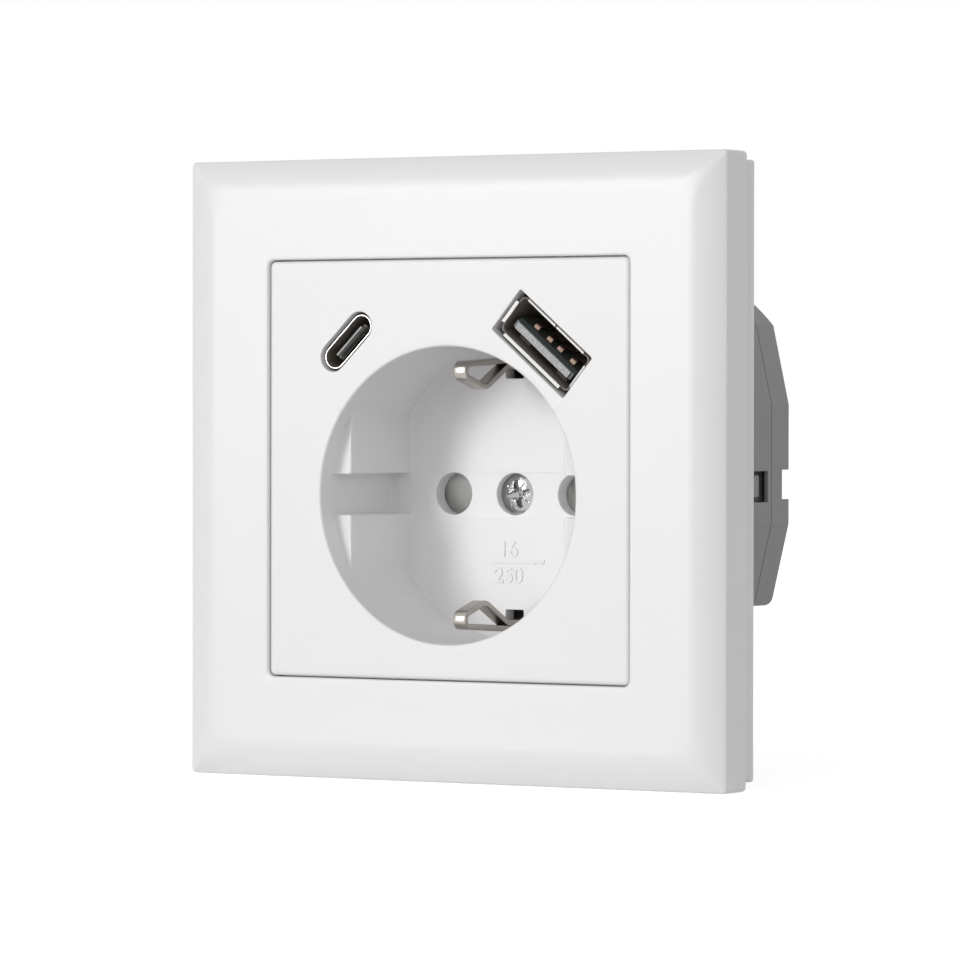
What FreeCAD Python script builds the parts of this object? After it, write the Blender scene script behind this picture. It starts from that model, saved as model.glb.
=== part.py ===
import FreeCAD, Part
import math
import os

import Sketcher

# Flush wall socket for round earthed plugs, with one flat and one oval charging port in its plate.
# Millimetres. X runs right, Z up, and the face looks along -Y. The wall is the plane Y = 0, and the
# origin is the middle of the wall box in that plane. Depths below are Y values, growing into the wall.

doc = FreeCAD.newDocument("usb_wall_socket")
sheet = doc.addObject("Spreadsheet::Sheet", "Sizes")

DRIVING_SIZES = [
    # cover frame
    ("frame_clear", 2.5, "cover frame, support ring to the inside of the side wall"),
    ("frame_depth", 10.85, "cover frame, wall to front face"),
    ("frame_corner", 1.2, "cover frame, corner radius in plan"),
    ("frame_wall", 2.0, "cover frame, side wall"),
    ("frame_skin", 2.6, "cover frame, front wall"),
    ("bevel_width", 5.0, "cover frame, width of the curved bevel"),
    ("bevel_radius", 8.0, "cover frame, radius of the curved bevel"),
    ("lip_inset", 1.0, "cover frame, set-back of the rear lip"),
    ("lip_height", 3.35, "cover frame, height of the rear lip off the wall"),
    ("plate_gap", 0.175, "cover frame, gap round the centre plate"),
    ("opening_corner", 0.95, "cover frame, opening corner radius"),
    ("opening_round", 0.3, "cover frame, rounding of the opening edge"),
    ("ledge_width", 1.9, "cover frame, ledge behind the plate"),
    ("ledge_height", 1.2, "cover frame, thickness of that ledge"),
    ("collar_wall", 1.6, "cover frame, collar that stands on the ring"),
    ("collar_gap", 18.0, "cover frame, gap in the middle of each collar side"),
    # centre plate
    ("plate_margin", 2.8, "centre plate, plug recess to the lower edge"),
    ("plate_corner", 0.8, "centre plate, corner radius"),
    ("plate_round", 0.45, "centre plate, rounding of the front edge"),
    ("plate_recess", 0.25, "centre plate, face behind the frame's face"),
    ("plate_skin", 2.2, "centre plate, thickness"),
    ("skirt_wall", 1.2, "centre plate, skirt inside the ledge"),
    ("skirt_height", 2.4, "centre plate, skirt height"),
    ("recess_drop", 3.4, "plug recess, centre below the middle of the plate"),
    ("recess_radius", 19.5, "plug recess, radius"),
    ("recess_depth", 17.5, "plug recess, plate face to floor"),
    ("recess_wall", 1.8, "plug recess, wall"),
    ("rim_round", 0.25, "plug recess, rounding of the rim"),
    ("floor_skin", 2.2, "plug recess, floor thickness"),
    ("flat_inset", 3.25, "plug recess, set-in of each guide flat from the round wall"),
    ("flat_start", 2.5, "plug recess, plate face to the guide flats"),
    ("guide_half", 2.7, "plug recess, half height of the guide grooves"),
    ("pin_pitch", 19.0, "distance between the two pin holes"),
    ("pin_hole", 2.8, "pin hole radius"),
    ("pin_reach", 19.0, "length of a plug's pin past the recess floor"),
    ("window_edge", 0.6, "earth clip window, round wall to its outer edge"),
    ("window_length", 3.5, "earth clip window, length"),
    ("window_width", 2.8, "earth clip window, width"),
    ("head_radius", 2.5, "centre screw, head radius"),
    ("head_height", 1.2, "centre screw, head height"),
    ("head_sink", 0.7, "centre screw, head below the recess floor"),
    ("screw_radius", 1.5, "centre screw, thread radius"),
    ("screw_length", 9.0, "centre screw, length under the head"),
    ("boss_radius", 3.7, "centre boss behind the recess floor"),
    # ports
    ("port_a_away", 3.22, "flat port, wall of the plug recess to the port's middle"),
    ("port_a_bearing", 53.86, "flat port, direction from the plug recess"),
    ("port_a_turn", -40.0, "flat port, long side from horizontal"),
    ("port_a_cut_long", 14.0, "flat port, cut-out length in the plate"),
    ("port_a_cut_short", 6.75, "flat port, cut-out width in the plate"),
    ("port_a_long", 13.1, "flat port, shell length"),
    ("port_a_short", 5.7, "flat port, shell width"),
    ("port_a_tongue_long", 11.1, "flat port, tongue width"),
    ("port_a_tongue_thick", 1.84, "flat port, tongue thickness"),
    ("port_a_tongue_shift", 0.62, "flat port, tongue off the shell's middle"),
    ("port_a_tongue_sink", 0.6, "flat port, tongue's nose behind the shell's rim"),
    ("port_c_away", 4.16, "oval port, wall of the plug recess to the port's middle"),
    ("port_c_bearing", 127.5, "oval port, direction from the plug recess"),
    ("port_c_turn", 44.5, "oval port, long side from horizontal"),
    ("port_c_cut_long", 9.6, "oval port, cut-out length in the plate"),
    ("port_c_cut_short", 3.86, "oval port, cut-out width in the plate"),
    ("port_c_long", 8.94, "oval port, shell length"),
    ("port_c_short", 3.2, "oval port, shell width"),
    ("port_c_tongue_long", 6.7, "oval port, tongue width"),
    ("port_c_tongue_thick", 0.7, "oval port, tongue thickness"),
    ("port_sheet", 0.3, "ports, shell sheet thickness"),
    ("port_sink", 0.75, "ports, shell rim below the plate face"),
    ("port_length", 13.7, "ports, shell length into the wall"),
    # earth strap
    ("strap_thick", 0.8, "earth strap and contacts, sheet thickness"),
    ("clip_width", 2.05, "earth clip, ribbon width"),
    ("clip_nose", 3.35, "earth clip, plate face to the ribbon's nose"),
    ("clip_leg", 1.95, "earth clip, round wall to the outer leg at the nose"),
    ("clip_root", 1.15, "earth clip, round wall to the outer leg at the strap"),
    ("clip_crest", 5.15, "earth clip, round wall to the crest"),
    ("strap_length", 26.0, "earth strap, length of the wide middle"),
    ("strap_width", 5.6, "earth strap and contacts, strip width"),
    # shutter
    ("shutter_front", 0.8, "shutter, gap to the recess floor in front of it"),
    ("shutter_back", 0.4, "shutter, gap to the carrier behind it"),
    ("shutter_thick", 1.4, "shutter thickness"),
    ("shutter_reach", 13.0, "shutter leaf, outer radius"),
    ("shutter_hub", 6.2, "shutter hub, outer radius"),
    ("shutter_slack", 0.05, "shutter hub, clearance round the boss"),
    ("shutter_span", 19.5, "shutter leaf, half angle"),
    # housing
    ("box_clear", 2.7, "housing, plug recess to the round wall under it"),
    ("side_clear", 2.7, "housing, plug recess to each side flat"),
    ("box_flat_top", 8.6, "housing, top of the side flats"),
    ("box_flat_low", 7.6, "housing, bottom of the side flats, downwards"),
    ("shoulder_inset", 2.4, "housing, set-back of the shoulders from the side flats"),
    ("rear_rise", 10.2, "rear bay, bottom face above the lowest point of the round wall"),
    ("foot_inset", 2.7, "rear bay, set-back of the bottom corners from the side flats"),
    ("foot_round", 1.5, "rear bay, rounding of the bottom corners"),
    ("shell_wall", 1.6, "housing wall"),
    ("board_shelf", 1.0, "housing, width of the ribs that carry the port board"),
    ("rib_across", 11.0, "housing, middle to each of the top ribs"),
    ("carrier_skin", 1.2, "contact carrier, front wall"),
    ("carrier_top", 2.55, "contact carrier, earth clip's leg to the top edge"),
    ("carrier_side", 8.0, "contact carrier, side flat to the cut-outs for the ribs"),
    ("carrier_side_low", 2.1, "contact carrier, cut-outs below the top of the side flats"),
    ("bulkhead_skin", 1.3, "housing, wall between the bays"),
    ("bay_room", 11.4, "rear bay, wall between the bays to the rear face"),
    ("cover_height", 5.3, "rear cover, seam to the rear face"),
    ("cover_skin", 1.5, "rear cover, back wall"),
    ("rear_edge", 0.3, "rear cover, chamfer round the rear face"),
    ("lip_reach", 1.4, "rear cover, lip that enters the shell"),
    ("moulding_gap", 0.15, "clearance between moulded pieces"),
    ("notch_top", 0.25, "rear cover notch, top below the middle"),
    ("notch_low", 4.25, "rear cover notch, bottom below the middle"),
    ("notch_depth", 2.2, "rear cover notch, depth from the rear face"),
    ("latch_top", 0.4, "side window, top below the middle"),
    ("latch_low", 4.6, "side window, bottom below the middle"),
    ("latch_front", 4.9, "side window, seam to its front edge"),
    ("latch_back", 0.9, "side window, seam to its rear edge"),
    ("latch_skin", 0.55, "side window, skin between it and the seam"),
    ("latch_pocket", 2.0, "side window, depth of its pocket into the rear cover"),
    # support ring
    ("ring_border", 5.5, "support ring, box screw to outer side"),
    ("ring_thick", 1.2, "support ring, sheet thickness"),
    ("ring_corner", 6.0, "support ring, corner cut"),
    ("ring_play", 0.7, "support ring, clearance round the plug recess"),
    ("ring_port_clear", 4.54, "support ring, middle of the flat port to the top of the opening"),
    ("ring_port_side", 7.94, "support ring, middle of the flat port to the side of the opening"),
    ("ring_port_low", 9.2, "support ring, lower edge of the opening for the ports"),
    ("screw_pitch", 60.0, "support ring, distance between the box screws"),
    ("slot_length", 7.0, "support ring, screw slot from end to end"),
    ("slot_half", 2.1, "support ring, half width of a screw slot"),
    ("lug_length", 6.5, "support ring, length of the folded lugs"),
    # terminals
    ("pole_pitch", 9.5, "distance from pole to pole at the terminals"),
    ("wire_pitch", 3.2, "distance between the two wire holes of a pole"),
    ("wire_hole", 1.35, "wire hole radius"),
    ("wire_rise", 7.55, "wire holes above the lowest point of the round wall"),
    ("lever_width", 4.6, "release lever, width"),
    ("lever_height", 1.4, "release lever, height"),
    ("lever_rise", 10.1, "release lever, middle above the lowest point of the round wall"),
    ("lever_proud", 2.0, "release lever, reach past the housing"),
    ("leaf_thick", 0.5, "clamp leaf, sheet thickness"),
    ("leaf_width", 5.4, "clamp leaf, width"),
    ("leaf_length", 7.7, "clamp leaf, length of the anchored leg"),
    ("leaf_fold", 2.7, "clamp leaf, height of the fold"),
    ("feed_radius", 0.5, "feed pins to the power board, radius"),
    # boards
    ("board_thick", 1.2, "circuit boards"),
    ("riser_drop", 7.0, "riser board, middle below the top of the round wall"),
    ("riser_half", 7.0, "riser board, half width"),
    ("parts_half", 24.0, "power board, housing half width that its parts are set out for"),
    ("core_wide", 12.4, "transformer core, width"),
    ("core_high", 13.0, "transformer core, height"),
    ("coil_wide", 8.2, "transformer coil, width"),
    ("coil_high", 9.0, "transformer coil, height"),
    ("coil_leg", 4.0, "transformer core, middle leg"),
    ("can_long", 12.0, "lying capacitor, length"),
    ("can_radius", 3.1, "standing capacitors, radius"),
]


class Size:
    """A length that keeps both its value and the sheet expression it comes from."""

    def __init__(self, value, text):
        self.value = float(value)
        self.text = text

    def __add__(self, other):
        other = size(other)
        return Size(self.value + other.value, f"({self.text} + {other.text})")

    def __sub__(self, other):
        other = size(other)
        return Size(self.value - other.value, f"({self.text} - {other.text})")

    def __mul__(self, other):
        other = size(other)
        return Size(self.value * other.value, f"({self.text} * {other.text})")

    def __truediv__(self, other):
        other = size(other)
        return Size(self.value / other.value, f"({self.text} / {other.text})")

    def __radd__(self, other):
        return size(other) + self

    def __rsub__(self, other):
        return size(other) - self

    def __rmul__(self, other):
        return size(other) * self

    def __neg__(self):
        return Size(-self.value, f"(0 - {self.text})")


def size(number):
    """A plain number as a Size."""
    return number if isinstance(number, Size) else Size(number, f"({float(number)!r})")


def root(area):
    """Square root of a Size."""
    return Size(math.sqrt(area.value), f"sqrt({area.text})")


def cosine(angle):
    """Cosine of a Size in degrees."""
    return Size(math.cos(math.radians(angle.value)), f"cos({angle.text})")


def sine(angle):
    """Sine of a Size in degrees."""
    return Size(math.sin(math.radians(angle.value)), f"sin({angle.text})")


def half_chord(radius, distance):
    """Half the chord of a circle at a distance from its middle."""
    return root(radius * radius - distance * distance)


for row, (alias, value, meaning) in enumerate(DRIVING_SIZES, start=1):
    sheet.set(f"A{row}", meaning)
    sheet.set(f"B{row}", str(value))
    sheet.setAlias(f"B{row}", alias)
doc.recompute()


def S(alias):
    """The driving size with this alias."""
    return Size(sheet.get(alias), f"Sizes.{alias}")


def bind(feature, path, length):
    """Tie a property of a feature to the sheet."""
    feature.setExpression(path, size(length).text)


def new_body(name):
    body = doc.addObject("PartDesign::Body", name)
    body.Label = name
    return body


def sketch(body, plane, at=0.0, across=0.0, up=0.0, turn=0.0):
    """A sketch on one of the body's own planes, moved along the third axis and turned in its plane."""
    drawing = body.newObject("Sketcher::SketchObject", "sketch")
    support = next(f for f in body.Origin.OriginFeatures if f.Role == plane + "_Plane")
    drawing.AttachmentSupport = [(support, "")]
    drawing.MapMode = "FlatFace"
    along = -size(at) if plane == "XZ" else size(at)
    across, up, turn = size(across), size(up), size(turn)
    drawing.AttachmentOffset = FreeCAD.Placement(
        FreeCAD.Vector(across.value, up.value, along.value),
        FreeCAD.Rotation(FreeCAD.Vector(0, 0, 1), turn.value),
    )
    bind(drawing, ".AttachmentOffset.Base.x", across)
    bind(drawing, ".AttachmentOffset.Base.y", up)
    bind(drawing, ".AttachmentOffset.Base.z", along)
    if turn.value:
        bind(drawing, ".AttachmentOffset.Rotation.Angle", turn)
    return drawing


def dimension(drawing, kind, length, *places):
    """Add a dimension to a sketch and tie it to the sheet."""
    length = size(length)
    index = drawing.addConstraint(Sketcher.Constraint(kind, *places, length.value))
    drawing.setExpression(f"Constraints[{index}]", length.text)


def hold(drawing, place, across=None, up=None):
    """Hold a point of a sketch at its distances from the sketch's origin."""
    if across is not None:
        dimension(drawing, "DistanceX", across, -1, 1, *place)
    if up is not None:
        dimension(drawing, "DistanceY", up, -1, 1, *place)


def circle(drawing, across, up, radius):
    across, up, radius = size(across), size(up), size(radius)
    middle = FreeCAD.Vector(across.value, up.value, 0)
    ring = drawing.addGeometry(Part.Circle(middle, FreeCAD.Vector(0, 0, 1), radius.value))
    hold(drawing, (ring, 3), across, up)
    dimension(drawing, "Radius", radius, ring)


def arc_between(start, end, middle, radius, turning_left):
    """Arc geometry from start to end, and which of its ends is which (1 first, 2 last)."""
    a = math.atan2(start[1] - middle[1], start[0] - middle[0])
    b = math.atan2(end[1] - middle[1], end[0] - middle[0])
    first, last = (a, b) if turning_left else (b, a)
    if last < first:
        last += 2 * math.pi
    whole = Part.Circle(FreeCAD.Vector(*middle, 0), FreeCAD.Vector(0, 0, 1), radius)
    return Part.ArcOfCircle(whole, first, last), (1, 2) if turning_left else (2, 1)


def outline(drawing, corners, closed=True):
    """Lines from corner to corner, each (x, y) or (x, y, radius of its rounding)."""
    corners = [tuple(size(c) for c in corner) for corner in corners]
    points = [(c[0].value, c[1].value) for c in corners]
    count = len(corners)
    arrive, leave = [], []
    for i, corner in enumerate(corners):
        here = FreeCAD.Vector(*points[i], 0)
        back = (FreeCAD.Vector(*points[i - 1], 0) - here).normalize()
        ahead = (FreeCAD.Vector(*points[(i + 1) % count], 0) - here).normalize()
        rounded = len(corner) == 3 and (closed or 0 < i < count - 1)
        reach = corner[2].value / math.tan(back.getAngle(ahead) / 2) if rounded else 0.0
        arrive.append(here + back * reach)
        leave.append(here + ahead * reach)
    sides = []
    for i in range(count if closed else count - 1):
        sides.append(drawing.addGeometry(Part.LineSegment(leave[i], arrive[(i + 1) % count])))
    for i, corner in enumerate(corners):
        if not closed and i in (0, count - 1):
            place = (sides[0], 1) if i == 0 else (sides[-1], 2)
            hold(drawing, place, corner[0], corner[1])
            continue
        before, after = sides[i - 1], sides[i]
        if len(corner) == 2:
            drawing.addConstraint(Sketcher.Constraint("Coincident", before, 2, after, 1))
            hold(drawing, (after, 1), corner[0], corner[1])
            continue
        into = arrive[i] - leave[i - 1]
        out = arrive[(i + 1) % count] - leave[i]
        left = into.x * out.y - into.y * out.x > 0
        side = FreeCAD.Vector(-into.y, into.x, 0).normalize() * (1 if left else -1)
        middle = arrive[i] + side * corner[2].value
        arc, (first, last) = arc_between(
            (arrive[i].x, arrive[i].y), (leave[i].x, leave[i].y), (middle.x, middle.y), corner[2].value, left
        )
        bend = drawing.addGeometry(arc)
        drawing.addConstraint(Sketcher.Constraint("Tangent", before, 2, bend, first))
        drawing.addConstraint(Sketcher.Constraint("Tangent", bend, last, after, 1))
        dimension(drawing, "Radius", corner[2], bend)
        tip = drawing.addGeometry(Part.Point(FreeCAD.Vector(*points[i], 0)), True)
        hold(drawing, (tip, 1), corner[0], corner[1])
        drawing.addConstraint(Sketcher.Constraint("PointOnObject", tip, 1, before))
        drawing.addConstraint(Sketcher.Constraint("PointOnObject", tip, 1, after))


def rectangle(drawing, left, low, right, top, rounding=None):
    ends = () if rounding is None else (rounding,)
    outline(drawing, [(left, low, *ends), (right, low, *ends), (right, top, *ends), (left, top, *ends)])


def centred(drawing, across, up, rounding=None):
    """A rectangle about the sketch's origin, by its full width and height."""
    rectangle(drawing, -(across / 2), -(up / 2), across / 2, up / 2, rounding)


def arched(drawing, sides):
    """A closed outline of straight sides and arcs.

    Each side starts at (x, y), where a coordinate in brackets is left to the arc it lies on, and is
    straight, or an arc about (x, y) of a given radius that turns left.
    """
    starts = [side[0] for side in sides]
    free = [[isinstance(c, list) for c in start] for start in starts]
    held = [[size(c[0] if isinstance(c, list) else c) for c in start] for start in starts]
    points = [(h[0].value, h[1].value) for h in held]
    made = []
    for i, side in enumerate(sides):
        here, there = points[i], points[(i + 1) % len(sides)]
        if len(side) == 1:
            line = Part.LineSegment(FreeCAD.Vector(*here, 0), FreeCAD.Vector(*there, 0))
            made.append(drawing.addGeometry(line))
            continue
        x, y, radius = (size(v) for v in side[1])
        arc, _ = arc_between(here, there, (x.value, y.value), radius.value, True)
        made.append(drawing.addGeometry(arc))
        hold(drawing, (made[-1], 3), x, y)
        dimension(drawing, "Radius", radius, made[-1])
    for i in range(len(sides)):
        drawing.addConstraint(Sketcher.Constraint("Coincident", made[i - 1], 2, made[i], 1))
        across, up = held[i]
        hold(drawing, (made[i], 1), None if free[i][0] else across, None if free[i][1] else up)


def slab(body, front, back, draw, **place):
    """Material between two depths, of the outline that draw puts in a sketch."""
    drawing = sketch(body, "XZ", back, **place)
    draw(drawing)
    feature = body.newObject("PartDesign::Pad", "slab")
    feature.Profile = drawing
    bind(feature, "Length", size(back) - front)
    return feature


def cut(body, front, back, draw, **place):
    """A pocket between two depths."""
    drawing = sketch(body, "XZ", front, **place)
    draw(drawing)
    feature = body.newObject("PartDesign::Pocket", "cut")
    feature.Profile = drawing
    bind(feature, "Length", size(back) - front)
    return feature


def across_body(body, kind, width, draw, at=0.0):
    """A pad or pocket of a Y-Z outline, half its width to each side of X = at."""
    drawing = sketch(body, "YZ", at)
    draw(drawing)
    feature = body.newObject(kind, "side")
    feature.Profile = drawing
    feature.SideType = "Symmetric"
    bind(feature, "Length", width)
    return feature


def ribbon(body, path, width, thick, at=0.0):
    """A folded strip: a flat section carried along a path of (y, z, bend radius) corners."""
    spine = sketch(body, "YZ", at)
    outline(spine, path, closed=False)
    start = sketch(body, "XZ", path[0][0], across=at, up=path[0][1])
    centred(start, size(width), size(thick))
    feature = body.newObject("PartDesign::AdditivePipe", "strip")
    feature.Profile = start
    feature.Spine = (spine, [])
    feature.Mode = "Binormal"
    feature.Binormal = FreeCAD.Vector(1, 0, 0)
    return feature


def edges_where(feature, test):
    """Names of the edges of a feature whose middle and direction pass a test."""
    doc.recompute()
    names = []
    for number, edge in enumerate(feature.Shape.Edges, start=1):
        first, last = edge.ParameterRange
        middle = edge.valueAt((first + last) / 2)
        if test(middle, edge):
            names.append(f"Edge{number}")
    return names


def rounded(body, feature, test, radius, kind="PartDesign::Fillet"):
    """Round or chamfer the edges of a feature that pass a test."""
    names = edges_where(feature, test)
    soft = body.newObject(kind, "edge")
    soft.Base = (feature, names)
    bind(soft, "Radius" if kind.endswith("Fillet") else "Size", radius)
    return soft


def near(a, b):
    return abs(a - size(b).value) < 0.01


# Depths that several pieces share.
front_y = -S("frame_depth")
face_y = front_y + S("plate_recess")
plate_back = face_y + S("plate_skin")
floor_y = face_y + S("recess_depth")
floor_back = floor_y + S("floor_skin")
shutter_front = floor_back + S("shutter_front")
shutter_back = shutter_front + S("shutter_thick")
carrier_y = shutter_back + S("shutter_back")
strap_y = carrier_y + S("carrier_skin")
tip_y = floor_y + S("pin_reach")
contact_back = tip_y + 0.1 + S("strap_thick")
bulkhead_y = contact_back + 0.1
bay_y = bulkhead_y + S("bulkhead_skin")
ring_front = -S("ring_thick")
port_front = face_y + S("port_sink")
port_back = port_front + S("port_length")
shelf_y = port_back + S("board_thick")
rear_y = bay_y + S("bay_room")
seam_y = rear_y - S("cover_height")
latch_front = seam_y - S("latch_front")
latch_back = seam_y - S("latch_back")
board_back = rear_y - S("cover_skin") - 0.5
board_front = board_back - S("board_thick")
pot_z = -S("recess_drop")
pot_outer = S("recess_radius") + S("recess_wall")

# Widths that follow from the plug recess and the box screws.
plate_side = (pot_outer + S("recess_drop") + S("plate_margin")) * 2
opening_side = plate_side + S("plate_gap") * 2
ring_side = S("screw_pitch") + S("ring_border") * 2
frame_side = ring_side + (S("frame_clear") + S("frame_wall") + S("lip_inset")) * 2
box_radius = pot_outer + S("recess_drop") + S("shell_wall") + S("box_clear")
rear_low = box_radius - S("rear_rise")
wire_low = box_radius - S("wire_rise")
lever_low = box_radius - S("lever_rise")
riser_up = box_radius - S("riser_drop")
box_half = pot_outer + S("side_clear")
box_shoulder = box_half - S("shoulder_inset")
flat_half = S("recess_radius") - S("flat_inset")
window_outer = S("recess_radius") - S("window_edge")
window_inner = window_outer - S("window_length")
clip_root = S("recess_radius") - S("clip_root")


def port_place(port):
    """Middle of a port, across and up from the middle of the plate."""
    away = pot_outer + S(f"port_{port}_away")
    bearing = S(f"port_{port}_bearing")
    return away * cosine(bearing), away * sine(bearing) + pot_z


def housing_outline(drawing, inset, rear):
    """Section of the housing: round to the wall box, flat at the sides, drawn at an inset.

    The front bay is round at the bottom as well. The rear bay ends in a flat bottom, which leaves room
    for the wires under it.
    """
    inset = size(inset)
    radius = box_radius - inset
    side = box_half - inset
    shoulder = box_shoulder - inset
    top = half_chord(radius, shoulder)
    crown = (0.0, 0.0, radius)
    upper = [((side, S("box_flat_top")),), ((shoulder, [top]), crown), ((-shoulder, [top]),)]
    left = [((-side, S("box_flat_top")),), ((-side, -S("box_flat_low")),)]
    right = [((side, -S("box_flat_low")),)]
    if rear:
        low = rear_low - inset
        foot = side - S("foot_inset")
        bottom = [((-foot, -low),), ((foot, -low),)]
    else:
        bottom = [((-shoulder, [-top]), crown), ((shoulder, [-top]),)]
    arched(drawing, upper + left + bottom + right)


def at_recess(name, across=0.0):
    """A body whose own origin lies on the plug recess's axis, or beside it."""
    body = new_body(name)
    bind(body, ".Placement.Base.x", across)
    bind(body, ".Placement.Base.z", pot_z)
    return body


def at_port(name, port):
    """A body in a port's own axes: long side along X, turned to lie as the port does."""
    body = new_body(name)
    body.Placement = FreeCAD.Placement(FreeCAD.Vector(), FreeCAD.Rotation(FreeCAD.Vector(0, -1, 0), 10))
    across, up = port_place(port)
    bind(body, ".Placement.Rotation.Angle", S(f"port_{port}_turn"))
    bind(body, ".Placement.Base.x", across)
    bind(body, ".Placement.Base.z", up)
    return body


def stadium(drawing, across, up):
    """A slot about the sketch's origin with round ends, by its full width and height."""
    radius = up / 2
    reach = across / 2 - radius
    arched(
        drawing,
        [
            ((-reach, [-radius]),),
            ((reach, [-radius]), (reach, 0.0, radius)),
            ((reach, [radius]),),
            ((-reach, [radius]), (-reach, 0.0, radius)),
        ],
    )


def bevel_waste(drawing, swapped):
    """What comes off both sides of a square block to leave the frame's section.

    The bevel is an arc that is level where it leaves the flat front, then the side wall drops to the
    set-back lip. The outline runs (across, depth), or (depth, across) when swapped.
    """
    half = frame_side / 2
    flat = half - S("bevel_width")
    radius = S("bevel_radius")
    middle_y = front_y + radius
    outer = half + 2.0
    for sign in (-1, 1):
        corners = [
            (sign * flat, front_y),
            (sign * half, middle_y - half_chord(radius, S("bevel_width"))),
            (sign * half, -S("lip_height")),
            (sign * (half - S("lip_inset")), -S("lip_height")),
            (sign * (half - S("lip_inset")), size(0.0)),
            (sign * outer, size(0.0)),
            (sign * outer, front_y - 1.0),
            (sign * flat, front_y - 1.0),
        ]
        middle = (sign * flat, middle_y)
        if swapped:
            corners = [corner[::-1] for corner in corners]
            middle = middle[::-1]
        points = [(a.value, b.value) for a, b in corners]
        left = (sign > 0) != swapped
        centre = (middle[0].value, middle[1].value)
        arc, (first, last) = arc_between(points[0], points[1], centre, radius.value, left)
        bevel = drawing.addGeometry(arc)
        hold(drawing, (bevel, 3), *middle)
        lines = []
        for i in range(1, len(points)):
            start, end = points[i], points[(i + 1) % len(points)]
            line = Part.LineSegment(FreeCAD.Vector(*start, 0), FreeCAD.Vector(*end, 0))
            lines.append(drawing.addGeometry(line))
        drawing.addConstraint(Sketcher.Constraint("Coincident", bevel, last, lines[0], 1))
        drawing.addConstraint(Sketcher.Constraint("Coincident", lines[-1], 2, bevel, first))
        for before, after in zip(lines, lines[1:]):
            drawing.addConstraint(Sketcher.Constraint("Coincident", before, 2, after, 1))
        for line, corner in zip(lines, corners[1:]):
            hold(drawing, (line, 1), *corner)
        # The arc's start is held by the line that ends there, and its radius follows from its middle.
        hold(drawing, (bevel, first), *((None, corners[0][1]) if swapped else (corners[0][0], None)))


def cover_frame():
    """Square cover frame, one moulding: curved bevel, set-back lip, hollow back, ledge and collar."""
    body = new_body("cover_frame")
    side = frame_side
    slab(body, front_y, 0.0, lambda d: centred(d, side, side, S("frame_corner")))
    # The same waste comes off left and right, then off top and bottom: the bevels meet in mitres.
    for plane in ("XY", "YZ"):
        drawing = sketch(body, plane)
        bevel_waste(drawing, swapped=plane == "YZ")
        feature = body.newObject("PartDesign::Pocket", "bevel")
        feature.Profile = drawing
        feature.SideType = "Symmetric"
        bind(feature, "Length", side + 10.0)
    inner = side / 2 - S("lip_inset") - S("frame_wall")
    collar = opening_side / 2 + S("collar_wall")

    def hollow(drawing):
        centred(drawing, inner * 2, inner * 2, 1.0)
        centred(drawing, collar * 2, collar * 2, 1.0)

    cut(body, front_y + S("frame_skin"), 0.0, hollow)
    ledge_half = opening_side / 2 - S("ledge_width")
    ledge_back = plate_back + S("ledge_height")
    opening = opening_side
    gap = S("collar_gap") / 2
    cut(body, front_y, plate_back, lambda d: centred(d, opening, opening, S("opening_corner")))
    cut(body, plate_back, ledge_back, lambda d: centred(d, ledge_half * 2, ledge_half * 2, 1.0))
    cut(body, ledge_back, 0.0, lambda d: centred(d, opening, opening, S("opening_corner")))
    cut(body, ring_front, 0.0, lambda d: centred(d, inner * 2, inner * 2, 1.0))
    # The collar stands on the ring at its four corners, clear of the box screws' heads.
    cut(body, ledge_back, 0.0, lambda d: rectangle(d, -inner, -gap, inner, gap))
    last = cut(body, ledge_back, 0.0, lambda d: rectangle(d, -gap, -inner, gap, inner))

    def opening_edge(middle, edge):
        return near(middle.y, front_y) and max(abs(middle.x), abs(middle.z)) < opening.value / 2 + 0.1

    rounded(body, last, opening_edge, S("opening_round"))


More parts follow.
